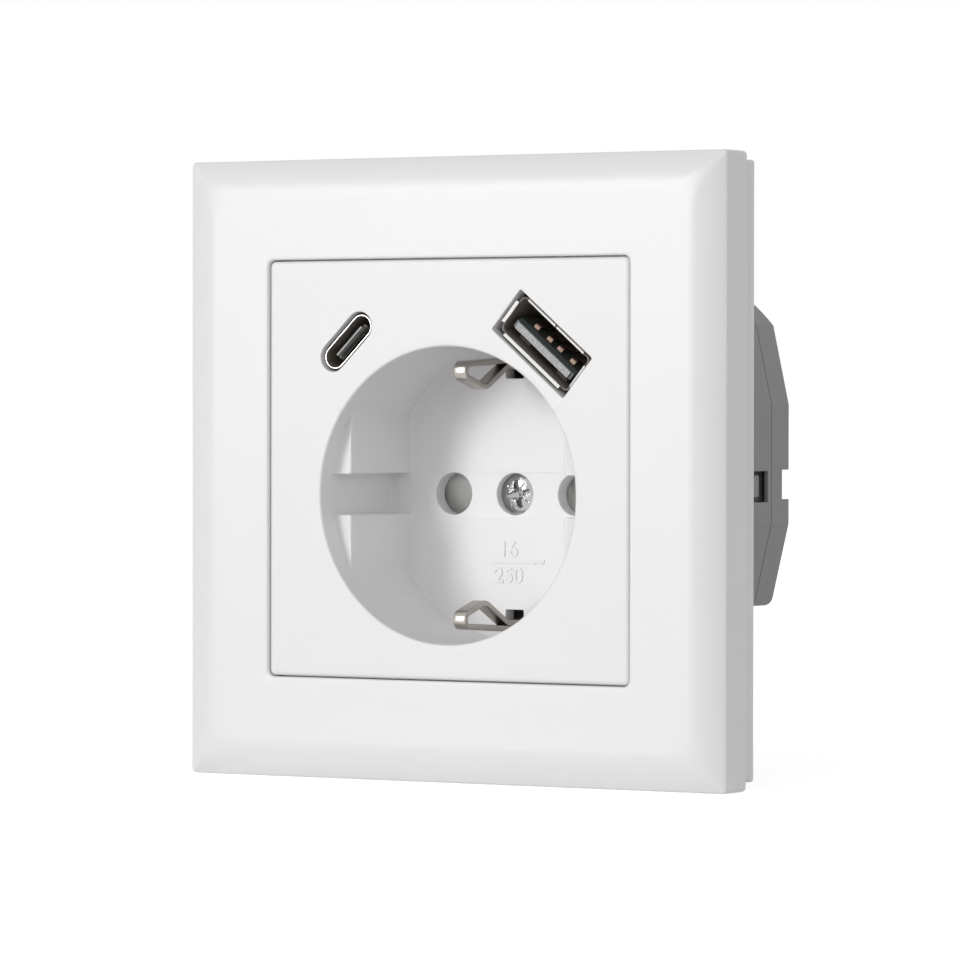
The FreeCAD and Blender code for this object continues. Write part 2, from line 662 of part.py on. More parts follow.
def centre_plate():
    """Centre plate and plug recess, one moulding.

    The recess is a plain cylinder with two flats that guide the plug. Each flat is parted by a groove
    that runs back to the round wall. The floor has the pin holes, the windows for the earth clips and
    a sunk seat for the centre screw, with a boss behind it that the shutter turns on.
    """
    body = new_body("centre_plate")
    side = plate_side
    slab(body, face_y, plate_back, lambda d: centred(d, side, side, S("plate_corner")))
    skirt = opening_side - S("ledge_width") * 2 - S("moulding_gap") * 2

    def skirt_ring(drawing):
        centred(drawing, skirt, skirt, 0.8)
        centred(drawing, skirt - S("skirt_wall") * 2, skirt - S("skirt_wall") * 2, 0.8)

    slab(body, plate_back - 0.5, plate_back + S("skirt_height"), skirt_ring)
    slab(body, plate_back - 0.5, floor_back, lambda d: circle(d, 0.0, 0.0, pot_outer), up=pot_z)
    slab(body, floor_back - 0.5, carrier_y, lambda d: circle(d, 0.0, 0.0, S("boss_radius")), up=pot_z)
    cut(body, face_y, floor_y, lambda d: circle(d, 0.0, 0.0, S("recess_radius")), up=pot_z)
    flat, guide = flat_half, S("guide_half")
    in_wall = S("recess_radius") + S("recess_wall") * 0.72

    def guide_flats(drawing):
        for x in (-1, 1):
            for z in (-1, 1):
                corners = [
                    (x * flat, z * guide),
                    (x * half_chord(in_wall, guide), z * guide),
                    (x * flat, z * half_chord(in_wall, flat)),
                ]
                outline(drawing, corners)

    slab(body, face_y + S("flat_start"), floor_y + 0.5, guide_flats, up=pot_z)
    pin = S("pin_pitch") / 2
    seat_y = floor_y + S("head_sink") + S("head_height")

    def pin_holes(drawing):
        circle(drawing, -pin, 0.0, S("pin_hole"))
        circle(drawing, pin, 0.0, S("pin_hole"))

    def clip_windows(drawing):
        wide = S("window_width") / 2
        rectangle(drawing, -wide, window_inner, wide, window_outer)
        rectangle(drawing, -wide, -window_outer, wide, -window_inner)

    cut(body, floor_y, floor_back, pin_holes, up=pot_z)
    cut(body, floor_y, floor_back, clip_windows, up=pot_z)
    cut(body, floor_y, seat_y, lambda d: circle(d, 0.0, 0.0, S("head_radius") + 0.25), up=pot_z)
    cut(body, floor_y, carrier_y, lambda d: circle(d, 0.0, 0.0, S("screw_radius") + 0.2), up=pot_z)
    for port, shape in (("a", centred), ("c", stadium)):
        long_side, short_side = S(f"port_{port}_cut_long"), S(f"port_{port}_cut_short")
        across, up = port_place(port)
        place = {"across": across, "up": up, "turn": S(f"port_{port}_turn")}
        last = cut(body, face_y, plate_back, lambda d: shape(d, long_side, short_side), **place)

    def outer_edge(middle, edge):
        return near(middle.y, face_y) and max(abs(middle.x), abs(middle.z)) > side.value / 2 - 1.0

    def rim_edge(middle, edge):
        away = math.hypot(middle.x, middle.z - pot_z.value)
        return near(middle.y, face_y) and near(away, S("recess_radius"))

    soft = rounded(body, last, outer_edge, S("plate_round"))
    rounded(body, soft, rim_edge, S("rim_round"))


def centre_screw():
    """Machine screw with a domed head and a cross recess, which pulls the plate onto the strap."""
    body = at_recess("centre_screw")
    head_y = floor_y + S("head_sink")
    seat_y = head_y + S("head_height")
    head = slab(body, head_y, seat_y, lambda d: circle(d, 0.0, 0.0, S("head_radius")))
    dome = rounded(body, head, lambda m, e: near(m.y, head_y), 0.5)
    slab(body, seat_y, seat_y + S("screw_length"), lambda d: circle(d, 0.0, 0.0, S("screw_radius")))
    for turn in (45.0, 135.0):
        last = cut(body, head_y, head_y + 0.9, lambda d: centred(d, size(3.1), size(0.7)), turn=turn)
    end_y = seat_y + S("screw_length")
    rounded(body, last, lambda m, e: near(m.y, end_y), 0.4, "PartDesign::Chamfer")


def strip_path_of_clip(sign):
    """Centre line of one earth clip, from its free end to the bend at the strap, as (y, z, radius)."""
    nose_y = face_y + S("clip_nose") + S("strap_thick") / 2
    leg = S("recess_radius") - S("clip_leg")
    crest = S("recess_radius") - S("clip_crest")
    base_y = strap_y + S("strap_thick") / 2
    reach = floor_back - nose_y
    return [
        (floor_back - 1.4, sign * (leg - 0.6)),
        (nose_y + reach * 0.678, sign * (leg - 0.45), 1.2),
        (nose_y + reach * 0.312, sign * (crest - 0.2), 2.2),
        (nose_y, sign * (crest + 0.4), 1.4),
        (nose_y, sign * leg, 1.4),
        (base_y, sign * clip_root, 1.0),
    ]


def earth_strap():
    """Earth strap: one folded strip with a clip at each end and a threaded plate in the middle."""
    body = at_recess("earth_strap")
    path = strip_path_of_clip(-1) + strip_path_of_clip(1)[::-1]
    ribbon(body, path, S("clip_width"), S("strap_thick"))
    back = strap_y + S("strap_thick")
    slab(body, strap_y, back, lambda d: centred(d, S("strap_width"), S("strap_length"), 1.0))
    cut(body, strap_y, back, lambda d: circle(d, 0.0, 0.0, S("screw_radius") + 0.02))


wire_z = S("recess_drop") - wire_low
terminal_floor = wire_z - S("wire_hole") - 0.5
terminal_roof = terminal_floor + 7.5
contact_line = contact_back - S("strap_thick") / 2
mouth_y = strap_y + 1.1
leaf_back = bulkhead_y - 2.7


def earth_link():
    """Strip riveted behind the strap, folded back to make the floor of the earth terminal."""
    body = at_recess("earth_link")
    line_y = strap_y + S("strap_thick") * 1.5
    path = [(contact_line, terminal_floor), (line_y, terminal_floor, 1.0), (line_y, -5.0)]
    ribbon(body, path, S("strap_width"), S("strap_thick"))


def live_contact(name, sign):
    """Contact for one pin: two sprung jaws, and a folded tail that ends as its terminal's floor."""
    body = at_recess(name, sign * S("pole_pitch"))
    pinch = 2.2 + S("strap_thick") / 2
    jaw = [(mouth_y, 3.7), (mouth_y + 3.6, pinch, 2.0), (mouth_y + 8.3, 3.4, 2.0)]
    tail = [
        (contact_line, 3.4, 1.0),
        (contact_line, -6.2, 1.0),
        (mouth_y, -6.2, 1.0),
        (mouth_y, terminal_floor, 1.0),
        (contact_line, terminal_floor),
    ]
    ribbon(body, jaw + tail, S("strap_width"), S("strap_thick"))
    lower = [(mouth_y + 0.6, -3.7), (mouth_y + 3.6, -pinch, 2.0), (mouth_y + 8.3, -3.4, 2.0)]
    lower.append((contact_line - 0.3, -3.4))
    ribbon(body, lower, S("strap_width"), S("strap_thick"))


def clamp_leaf(name, pole):
    """Steel leaf of a push-in terminal, folded in a U so that its free leg grips the wire."""
    body = at_recess(name, pole * S("pole_pitch"))
    anchor = terminal_roof - S("leaf_thick") / 2 - 0.03
    path = [
        (leaf_back - S("leaf_length"), anchor),
        (leaf_back, anchor, 1.2),
        (leaf_back, anchor - S("leaf_fold"), 1.2),
        (leaf_back - S("leaf_length") + 1.5, terminal_floor + 0.8),
    ]
    ribbon(body, path, S("leaf_width"), S("leaf_thick"))


def release_lever(name, pole):
    """Push lever behind a terminal: pressed in, it lifts the leaf off the wire."""
    body = at_recess(name, pole * S("pole_pitch"))
    up = S("recess_drop") - lever_low
    wide, high = S("lever_width"), S("lever_height")
    flange_back = bulkhead_y - S("moulding_gap")
    end_y = bay_y + S("lever_proud")
    slab(body, flange_back - 1.0, flange_back, lambda d: centred(d, wide + 0.6, high + 0.7), up=up)
    slab(body, flange_back - 0.5, end_y, lambda d: centred(d, wide, high), up=up)
    drawing = sketch(body, "XZ", end_y, up=up)
    centred(drawing, size(3.0), size(0.7))
    dimple = body.newObject("PartDesign::Pocket", "dimple")
    dimple.Profile = drawing
    dimple.Reversed = True
    bind(dimple, "Length", 0.6)


def safety_shutter():
    """Child-proof shutter: a hub on the centre boss and two ramped leaves over the pin holes."""
    body = at_recess("safety_shutter")
    reach, span = S("shutter_reach"), S("shutter_span")
    inner = S("shutter_hub") - 0.8

    def hub(drawing):
        circle(drawing, 0.0, 0.0, S("shutter_hub"))
        circle(drawing, 0.0, 0.0, S("boss_radius") + S("shutter_slack"))

    def leaf(drawing):
        arched(
            drawing,
            [
                ((inner * cosine(span), -(inner * sine(span))),),
                ((reach * cosine(span), [-(reach * sine(span))]), (0.0, 0.0, reach)),
                ((reach * cosine(span), [reach * sine(span)]),),
                ((inner * cosine(span), inner * sine(span)),),
            ],
        )

    slab(body, shutter_front, shutter_back, hub)
    for turn in (0.0, 180.0):
        slab(body, shutter_front, shutter_back, leaf, turn=turn)
    # The ramps face down on the left leaf and up on the right one, so two pins turn the shutter.
    foot_y = shutter_back - 0.4
    for sign in (-1, 1):
        ramp = [
            (shutter_front - 0.2, sign * -2.4),
            (foot_y, sign * 2.4),
            (foot_y, sign * 6.0),
            (shutter_front - 0.2, sign * 6.0),
        ]
        middle = (S("shutter_hub") + 0.4 + reach + 1.0) / 2
        width = reach + 1.0 - S("shutter_hub") - 0.4
        across_body(body, "PartDesign::Pocket", width, lambda d: outline(d, ramp), at=sign * middle)


def shutter_spring():
    """Leaf of thin strip held between posts on the carrier, pressing on the shutter's left leaf."""
    body = at_recess("shutter_spring")
    body.Placement = FreeCAD.Placement(FreeCAD.Vector(), FreeCAD.Rotation(FreeCAD.Vector(0, 0, 1), -90))
    bind(body, ".Placement.Base.y", (shutter_front + shutter_back) / 2)
    bind(body, ".Placement.Base.z", pot_z)
    path = [(-3.0, 14.3), (-12.3, 14.3, 1.5), (-13.6, 9.0, 3.0), (-10.8, 4.0)]
    ribbon(body, path, 1.0, 0.3)


def contact_carrier():
    """Moulded block that holds the contacts, open at the back, with a chamber for each pole."""
    body = new_body("contact_carrier")
    inset = S("shell_wall") + S("moulding_gap")
    slab(body, carrier_y, bulkhead_y, lambda d: housing_outline(d, inset, rear=False))
    top, reach = clip_root + pot_z + S("carrier_top"), box_radius + 1.0
    cut(body, carrier_y, bulkhead_y, lambda d: rectangle(d, -reach, top, reach, reach))
    side, side_low = box_half - S("carrier_side"), S("box_flat_top") - S("carrier_side_low")
    for sign in (-1, 1):
        ends = sorted((sign * side, sign * reach), key=lambda v: v.value)
        cut(body, carrier_y, bulkhead_y, lambda d: rectangle(d, ends[0], side_low, ends[1], reach))
    floor, roof = terminal_floor - 0.5, 4.3
    half = S("strap_width") / 2 + S("moulding_gap")
    pin, pole = S("pin_pitch") / 2, S("pole_pitch")
    clear = S("pin_hole") + S("moulding_gap")
    for sign in (-1, 1):
        # Only the upper part of a pole's chamber is as wide as the pin.
        sides = [sign * (pole - half), sign * (pin + clear)]
        low_sides = [sign * (pole - half), sign * (pole + half)]
        left, right = sorted(sides, key=lambda v: v.value)
        low_left, low_right = sorted(low_sides, key=lambda v: v.value)
        cut(body, strap_y, bulkhead_y, lambda d: rectangle(d, left, -7.0, right, roof), up=pot_z)
        cut(body, strap_y, bulkhead_y, lambda d: rectangle(d, low_left, floor, low_right, -6.0), up=pot_z)
        place = {"across": sign * pin, "up": pot_z}
        cut(body, carrier_y, strap_y, lambda d: circle(d, 0.0, 0.0, S("pin_hole")), **place)
    high = clip_root + S("strap_thick") / 2 + S("moulding_gap")
    cut(body, strap_y, bulkhead_y, lambda d: rectangle(d, -half, floor, half, high), up=pot_z)
    cut(body, carrier_y, strap_y, lambda d: circle(d, 0.0, 0.0, S("screw_radius") + 0.2), up=pot_z)
    slot = S("clip_width") / 2 + S("moulding_gap")

    def clip_slots(drawing):
        for low, top_edge in ((high - 2.0, high), (-high, -(high - 2.0))):
            rectangle(drawing, -slot, low, slot, top_edge)

    cut(body, carrier_y, strap_y, clip_slots, up=pot_z)
    # Posts grip the shutter's spring, and one stops its left leaf.
    post_front = shutter_front + 0.1

    def posts(drawing):
        for across, up in ((-4.2, 15.3), (-4.2, 13.3), (-8.4, 15.3), (-11.74, -5.09)):
            circle(drawing, across, up, 0.8)

    slab(body, post_front, carrier_y + 0.3, posts, up=pot_z)


def support_ring():
    """Zinc-plated steel ring that is screwed to the wall box, with four lugs folded into the shell."""
    body = new_body("support_ring")
    half, corner = ring_side / 2, S("ring_corner")
    across, up = port_place("a")
    low, wide = S("ring_port_low"), across + S("ring_port_side")
    radius = pot_outer + S("ring_play")
    crown = root(across * across + up * up) + S("ring_port_clear")

    def plate(drawing):
        flat = half - corner
        corners = [(half, -flat), (half, flat), (flat, half), (-flat, half)]
        outline(drawing, corners + [(-x, -z) for x, z in corners])

    def opening(drawing):
        port_top = half_chord(crown, wide)
        lower = half_chord(radius, low - pot_z)
        arched(
            drawing,
            [
                (([lower], low),),
                ((wide, low),),
                ((wide, [port_top]), (0.0, 0.0, crown)),
                ((-wide, [port_top]),),
                ((-wide, low),),
                (([-lower], low), (0.0, pot_z, radius)),
            ],
        )

    slab(body, ring_front, 0.0, plate)
    cut(body, ring_front, 0.0, opening)
    for sign in (-1, 1):
        place = {"across": sign * S("screw_pitch") / 2}
        cut(body, ring_front, 0.0, lambda d: stadium(d, S("slot_length"), S("slot_half") * 2), **place)
    for left, right, low_z, top_z in lug_places(0.0):
        slab(body, ring_front, S("lug_length"), lambda d: rectangle(d, left, low_z, right, top_z))


def lug_places(gap):
    """Sides of the four lugs as left, right, bottom and top, or of their grooves with a gap round them."""
    outer = box_half - S("shell_wall") + 0.45 + gap
    inner = box_half - S("shell_wall") - 0.75 - gap
    places = []
    for low, top in ((2.6, 8.2), (-8.2, -2.6)):
        places.append((inner, outer, size(low) - gap, size(top) + gap))
        places.append((-outer, -inner, size(low) - gap, size(top) + gap))
    return places


def foot_edge(middle, edge):
    """Whether an edge is one of the rear bay's bottom corners."""
    along = abs(edge.tangentAt(edge.FirstParameter).y) > 0.9
    foot = box_half - S("foot_inset")
    return along and near(middle.z, -rear_low) and near(abs(middle.x), foot)


def front_shell():
    """Grey housing: a front bay for the contacts, a wall, and a rear bay for the power board."""
    body = new_body("front_shell")
    wall = S("shell_wall")
    slab(body, 0.0, bay_y, lambda d: housing_outline(d, 0.0, rear=False))
    bay = slab(body, bay_y - 0.5, seam_y, lambda d: housing_outline(d, 0.0, rear=True))
    rounded(body, bay, foot_edge, S("foot_round"))
    cut(body, 0.0, bulkhead_y, lambda d: housing_outline(d, wall, rear=False))
    cut(body, bay_y, seam_y, lambda d: housing_outline(d, wall, rear=True))
    for left, right, low_z, top_z in lug_places(S("moulding_gap")):
        cut(body, 0.0, S("lug_length") + 0.5, lambda d: rectangle(d, left, low_z, right, top_z))
    side = box_half - wall
    # Ribs at the sides and at the top carry the port board.
    shelf = S("board_shelf")
    near_x, far_x = side - shelf, side + 0.4
    side_rib = S("box_flat_top") + 1.4
    top_rib = half_chord(box_radius - wall, S("rib_across")) - shelf
    left, right = S("rib_across") - 1.2, S("rib_across") + 1.2
    for sign in (-1, 1):
        for a, b, low, high in ((near_x, far_x, side_rib, 3.0), (left, right, top_rib, 1.8)):
            ends = sorted((sign * a, sign * b), key=lambda v: v.value)
            slab(body, shelf_y, bulkhead_y + 0.5, lambda d: rectangle(d, ends[0], low, ends[1], low + high))
    # Tongues on the wall back the clamp leaves, and a post presses the strap onto the carrier.
    half = S("leaf_width") / 2
    for pole in (-1, 0, 1):
        place = {"across": pole * S("pole_pitch"), "up": pot_z}
        start, low, top = leaf_back - S("leaf_length") - 0.3, terminal_roof, terminal_roof + 1.0
        slab(body, start, bulkhead_y + 0.5, lambda d: rectangle(d, -half, low, half, top), **place)
    post_y = strap_y + S("strap_thick") + 0.05
    slab(body, post_y, bulkhead_y + 0.5, lambda d: rectangle(d, -2.0, 6.0, 2.0, 11.0), up=pot_z)

    def wire_holes(drawing):
        for pole in (-1, 0, 1):
            for side in (-0.5, 0.5):
                middle = pole * S("pole_pitch") + side * S("wire_pitch")
                circle(drawing, middle, -wire_low, S("wire_hole"))

    def lever_windows(drawing):
        wide = S("lever_width") / 2 + S("moulding_gap")
        high = S("lever_height") / 2 + S("moulding_gap")
        for pole in (-1, 0, 1):
            middle = pole * S("pole_pitch")
            rectangle(drawing, middle - wide, -lever_low - high, middle + wide, -lever_low + high)

    def feed_holes(drawing):
        for sign in (-1, 1):
            circle(drawing, sign * S("pole_pitch"), pot_z - 5.0, S("feed_radius") + 0.2)

    cut(body, bulkhead_y, bay_y, wire_holes)
    cut(body, bulkhead_y, bay_y, lever_windows)
    cut(body, bulkhead_y, bay_y, feed_holes)
    riser, thick = S("riser_half") + 0.3, S("board_thick") / 2 + 0.2
    riser_low, riser_top = riser_up - thick, riser_up + thick
    cut(body, bulkhead_y, bay_y, lambda d: rectangle(d, -riser, riser_low, riser, riser_top))
    # The rear bay's bottom is thinner over the release levers.
    reach = S("pole_pitch") + S("lever_width") / 2 + 0.5
    roof = S("lever_height") / 2 + 0.35 - lever_low
    below = -rear_low - 0.5
    cut(body, bay_y, bay_y + S("lever_proud") + 0.5, lambda d: rectangle(d, -reach, below, reach, roof))
    low, top = -S("latch_low"), -S("latch_top")
    window = [
        (latch_front, low),
        (latch_back, low),
        (latch_back, top),
        (latch_front, top),
    ]
    across_body(body, "PartDesign::Pocket", box_half * 2 + 4.0, lambda d: outline(d, window))
    for left, right in latch_pockets():
        cut(body, latch_back, seam_y, lambda d: rectangle(d, left, low, right, top))


def latch_pockets():
    """Sides of the pockets behind the side windows, where only a thin skin bridges window and seam."""
    skin, deep = box_half - S("latch_skin"), box_half - S("shell_wall") - S("moulding_gap")
    return [(deep, skin), (-skin, -deep)]


cover_inset = S("shell_wall") + S("moulding_gap") + 1.0


def rear_cover():
    """Rear cover: a shallow tray whose lip enters the shell, with a snap tongue at each side."""
    body = new_body("rear_cover")
    seam, end = seam_y, rear_y
    lip = S("shell_wall") + S("moulding_gap")
    rim = seam + S("moulding_gap")
    tray = slab(body, rim, end, lambda d: housing_outline(d, 0.0, rear=True))
    rounded(body, tray, foot_edge, S("foot_round"))
    slab(body, seam - S("lip_reach"), seam + 0.5, lambda d: housing_outline(d, lip, rear=True))
    inner_y = end - S("cover_skin")
    cut(body, seam - S("lip_reach"), inner_y, lambda d: housing_outline(d, cover_inset, rear=True))
    # The snap tongues run forward from the lip, and their hooks catch in the shell's side windows.
    low, top = -S("latch_low") + 0.7, -S("latch_top") - 0.6
    inner_x, outer_x = box_half - cover_inset, box_half - lip
    hook_x = box_half - 0.6
    start = latch_front + 0.2
    hook_end = latch_back - 1.5
    for sign in (-1, 1):
        arm = sorted((sign * inner_x, sign * outer_x), key=lambda v: v.value)
        hook = sorted((sign * inner_x, sign * hook_x), key=lambda v: v.value)
        slab(body, start, seam, lambda d: rectangle(d, arm[0], low, arm[1], top))
        slab(body, start, hook_end, lambda d: rectangle(d, hook[0], low, hook[1], top))
    pocket_low, pocket_top, pocket_end = -S("latch_low"), -S("latch_top"), seam + S("latch_pocket")
    for left, right in latch_pockets():
        cut(body, rim, pocket_end, lambda d: rectangle(d, left, pocket_low, right, pocket_top))
    # A pry notch at each side, over the tongue.
    notch_y = end - S("notch_depth")
    floor_x, outer = box_half - 2.0, box_half + 1.0
    for sign in (-1, 1):
        ends = sorted((sign * floor_x, sign * outer), key=lambda v: v.value)
        cut(body, notch_y, end, lambda d: rectangle(d, ends[0], -S("notch_low"), ends[1], -S("notch_top")))

    def board_posts(drawing):
        for x in (-14.0, 14.0):
            for z in (-12.5, 17.5):
                circle(drawing, x, z, 1.6)

    last = slab(body, board_back, inner_y + 0.5, board_posts)

    def rear_edge(middle, edge):
        far = max(abs(middle.x), abs(middle.z)) > rear_low.value - 1.7
        inside_notch = abs(middle.x) < box_half.value - 0.1 and -4.5 < middle.z < 0.0
        return near(middle.y, end) and far and not inside_notch and abs(middle.x) < box_half.value + 0.1

    rounded(body, last, rear_edge, S("rear_edge"), "PartDesign::Chamfer")


def port_shell(port, shape, rounding):
    """Folded steel shell of a port with a rolled rim and a closed back."""
    body = at_port(f"usb_{port}_shell", port)
    long_side, short_side, sheet_t = S(f"port_{port}_long"), S(f"port_{port}_short"), S("port_sheet")

    def wall(drawing, grow):
        shape(drawing, long_side + grow, short_side + grow, *rounding)
        shape(drawing, long_side - sheet_t * 2, short_side - sheet_t * 2, *rounding)

    slab(body, port_front, port_back, lambda d: wall(d, size(0.0)))
    slab(body, port_front, port_front + 0.45, lambda d: wall(d, size(0.24)))
    slab(body, port_back - sheet_t, port_back, lambda d: shape(d, long_side, short_side, *rounding))
    return body


def usb_a_port():
    """Flat charging port: shell with four sprung fingers, a tongue and its four contacts."""
    shell = port_shell("a", centred, (0.7,))
    half, sheet_t = S("port_a_short") / 2, S("port_sheet")
    finger_root, finger_tip = port_front + 8.6, port_front + 2.2
    for across in (-3.6, 3.6):
        for sign in (-1, 1):
            line = half - sheet_t / 2
            low, high = sorted((sign * (half - sheet_t - 0.1), sign * (half + 0.3)), key=lambda v: v.value)
            window = [(finger_tip, low), (finger_root, low), (finger_root, high), (finger_tip, high)]
            across_body(shell, "PartDesign::Pocket", 2.5, lambda d: outline(d, window), at=across)
            path = [
                (finger_root + 0.4, sign * line),
                (finger_root - 0.6, sign * line, 1.5),
                (finger_tip + 1.8, sign * (line - 0.62), 1.0),
                (finger_tip + 0.4, sign * (line - 0.2)),
            ]
            ribbon(shell, path, 1.9, sheet_t, at=across)
    tongue = at_port("usb_a_tongue", "a")
    wide, thick, shift = S("port_a_tongue_long"), S("port_a_tongue_thick"), -S("port_a_tongue_shift")
    root_y, nose_y = port_back - sheet_t, port_front + S("port_a_tongue_sink")
    block = slab(tongue, nose_y, root_y, lambda d: centred(d, wide, thick), up=shift)
    rounded(tongue, block, lambda m, e: near(m.y, nose_y), 0.25, "PartDesign::Chamfer")
    contacts = at_port("usb_a_contacts", "a")
    contacts.AllowCompound = True
    top = shift + thick / 2

    def strips(drawing):
        for middle in (-3.5, -1.0, 1.0, 3.5):
            rectangle(drawing, middle - 0.5, top, middle + 0.5, top + 0.25)

    slab(contacts, nose_y + 0.9, root_y, strips)


def usb_c_port():
    """Oval charging port: seamless shell, thin tongue and a row of contacts on each of its sides."""
    port_shell("c", stadium, ())
    tongue = at_port("usb_c_tongue", "c")
    wide, thick = S("port_c_tongue_long"), S("port_c_tongue_thick")
    root_y = port_back - S("port_sheet")
    slab(tongue, port_front + 0.8, root_y, lambda d: centred(d, wide, thick, 0.2))
    contacts = at_port("usb_c_contacts", "c")
    contacts.AllowCompound = True

    def strips(drawing):
        for number in range(12):
            middle = (number - 5.5) * 0.5
            for sign in (-1, 1):
                low, high = sorted((sign * (thick / 2), sign * (thick / 2 + 0.08)), key=lambda v: v.value)
                rectangle(drawing, middle - 0.13, low, middle + 0.13, high)

    slab(contacts, port_front + 1.2, root_y, strips)


def boards():
    """Port board behind the plate, power board in the rear cover and the riser that joins them."""
    port_board = new_body("usb_board")
    reach = box_radius
    inset = S("shell_wall") + 0.2
    slab(port_board, port_back, shelf_y, lambda d: housing_outline(d, inset, rear=False))
    low = S("ring_port_low")
    cut(port_board, port_back, shelf_y, lambda d: rectangle(d, -reach, -reach, reach, low))
    cut(port_board, port_back, shelf_y, lambda d: circle(d, 0.0, 0.0, pot_outer + 0.7), up=pot_z)
    power = new_body("power_board")
    slab(power, board_front, board_back, lambda d: housing_outline(d, cover_inset + 0.2, rear=True))
    riser = new_body("riser_board")
    half, thick = S("riser_half"), S("board_thick") / 2
    middle = riser_up
    slab(riser, shelf_y, board_front, lambda d: rectangle(d, -half, middle - thick, half, middle + thick))
    feed = new_body("feed_pins")
    feed.AllowCompound = True

    def pins(drawing):
        for sign in (-1, 1):
            circle(drawing, sign * S("pole_pitch"), pot_z - 5.0, S("feed_radius"))

    slab(feed, contact_back, board_front, pins)


spread = box_half / S("parts_half")
room = board_front - bay_y
lying_radius = room * 0.375


def transformer():
    """Small transformer on the power board: a core in three legs and the coil on its middle leg."""
    x, z, height = spread * -8.6, 8.8, room * 0.8
    core_front, core_back = board_front - height + 1.3, board_front - 1.3
    place = {"across": x, "up": z}
    core = new_body("transformer_core")
    slab(core, core_front, core_back, lambda d: centred(d, S("core_wide"), S("core_high")), **place)
    leg = S("coil_leg") / 2
    side, top = S("coil_wide") / 2 + 0.1, S("coil_high") / 2 + 0.1

    def windows(drawing):
        rectangle(drawing, -side, leg, side, top)
        rectangle(drawing, -side, -top, side, -leg)

    cut(core, core_front, core_back, windows, **place)
    coil = new_body("transformer_coil")
    wide, high = S("coil_wide"), S("coil_high")
    block = slab(coil, board_front - height, board_front, lambda d: centred(d, wide, high), **place)
    soft = rounded(coil, block, lambda m, e: abs(e.tangentAt(e.FirstParameter).x) > 0.9, 1.0)
    drawing = sketch(coil, "YZ", x, up=z)
    rectangle(drawing, core_front, -leg, core_back, leg)
    hole = coil.newObject("PartDesign::Pocket", "leg")
    hole.Profile = drawing
    hole.SideType = "Symmetric"
    bind(hole, "Length", S("coil_wide") + 2.0)


def standing_cans(name, places, radius, height, groove):
    """Round parts that stand on the power board, with a rolled groove near the board."""
    body = new_body(name)
    body.AllowCompound = True

    def discs(drawing, r):
        for x, z in places:
            circle(drawing, spread * x, z, r)

    last = slab(body, board_front - height, board_front, lambda d: discs(d, radius))
    if groove:
        def rings(drawing):
            discs(drawing, radius + 0.5)
            discs(drawing, radius - groove)

        cut(body, board_front - 1.8, board_front - 1.2, rings)
    return body


def lying_can(name, x, z, radius, length):
    """Round part that lies on the power board along X."""
    body = new_body(name)
    drawing = sketch(body, "YZ", spread * x)
    circle(drawing, board_front - radius, z, radius)
    feature = body.newObject("PartDesign::Pad", "can")
    feature.Profile = drawing
    feature.SideType = "Symmetric"
    bind(feature, "Length", length)


def board_blocks(name, places):
    """Flat moulded parts on the power board, each as middle x, z, width, height and thickness."""
    body = new_body(name)
    body.AllowCompound = True
    thickness = places[0][4]

    def blocks(drawing):
        for x, z, wide, high, _ in places:
            middle = spread * x
            rectangle(drawing, middle - wide / 2, z - high / 2, middle + wide / 2, z + high / 2)

    slab(body, board_front - thickness, board_front, blocks)


def power_parts():
    """What the power board carries besides its transformer."""
    lying_z = lying_radius + cover_inset + 0.5 - rear_low
    lying_can("input_capacitor", -10.0, lying_z, lying_radius, S("can_long"))
    lying_can("input_fuse", 5.5, -12.4, 1.6, 7.0)
    standing_cans("output_capacitors", [(6.0, 16.6), (13.2, 13.2)], S("can_radius"), room * 0.78, 0.25)
    standing_cans("output_inductor", [(13.4, 5.0)], 3.0, 3.6, 0.0)
    standing_cans("suppression_capacitor", [(14.6, -3.4)], 2.6, 5.2, 0.0)
    board_blocks("bridge_rectifier", [(1.5, -5.0, 5.0, 4.2, 2.2)])
    board_blocks("controller_chips", [(4.6, 3.2, 5.0, 4.0, 1.5), (4.6, 9.4, 4.0, 3.0, 1.5)])


cover_frame()
centre_plate()
centre_screw()
earth_strap()
earth_link()
live_contact("line_contact", -1)
live_contact("neutral_contact", 1)
for pole_name, pole_side in (("line", -1), ("earth", 0), ("neutral", 1)):
    clamp_leaf(f"{pole_name}_clamp", pole_side)
    release_lever(f"{pole_name}_release", pole_side)
safety_shutter()
shutter_spring()
contact_carrier()
support_ring()
front_shell()
rear_cover()
usb_a_port()
usb_c_port()
boards()
transformer()
power_parts()

doc.recompute()
for thing in doc.Objects:
    if "Invalid" in thing.State or "Error" in thing.State:
        raise RuntimeError(f"{thing.FullName} failed: {thing.State}")
bodies = [thing for thing in doc.Objects if thing.TypeId == "PartDesign::Body"]
for body in bodies:
    if body.Shape.isNull() or not body.Shape.isValid():
        raise RuntimeError(f"{body.Label} has no valid shape")
os.makedirs("parts", exist_ok=True)
for body in bodies:
    body.Shape.exportStep(f"parts/{body.Label}.step")
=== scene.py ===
import math

import bmesh
import bpy
import numpy as np
from mathutils import Matrix, Vector
from mathutils.geometry import tessellate_polygon


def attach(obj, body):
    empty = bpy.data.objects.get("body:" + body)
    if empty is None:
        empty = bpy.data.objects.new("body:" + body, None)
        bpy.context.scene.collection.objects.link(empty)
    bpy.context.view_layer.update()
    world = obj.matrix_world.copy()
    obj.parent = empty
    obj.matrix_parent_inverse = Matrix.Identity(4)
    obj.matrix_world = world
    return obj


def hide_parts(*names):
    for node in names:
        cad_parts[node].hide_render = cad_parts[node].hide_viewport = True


# Flush wall socket with two charging ports. Metres, in the frame of the CAD part: X right, Z up, the
# face looks along -Y, the wall is Y = 0. Sizes inside a section are millimetres until they are built.

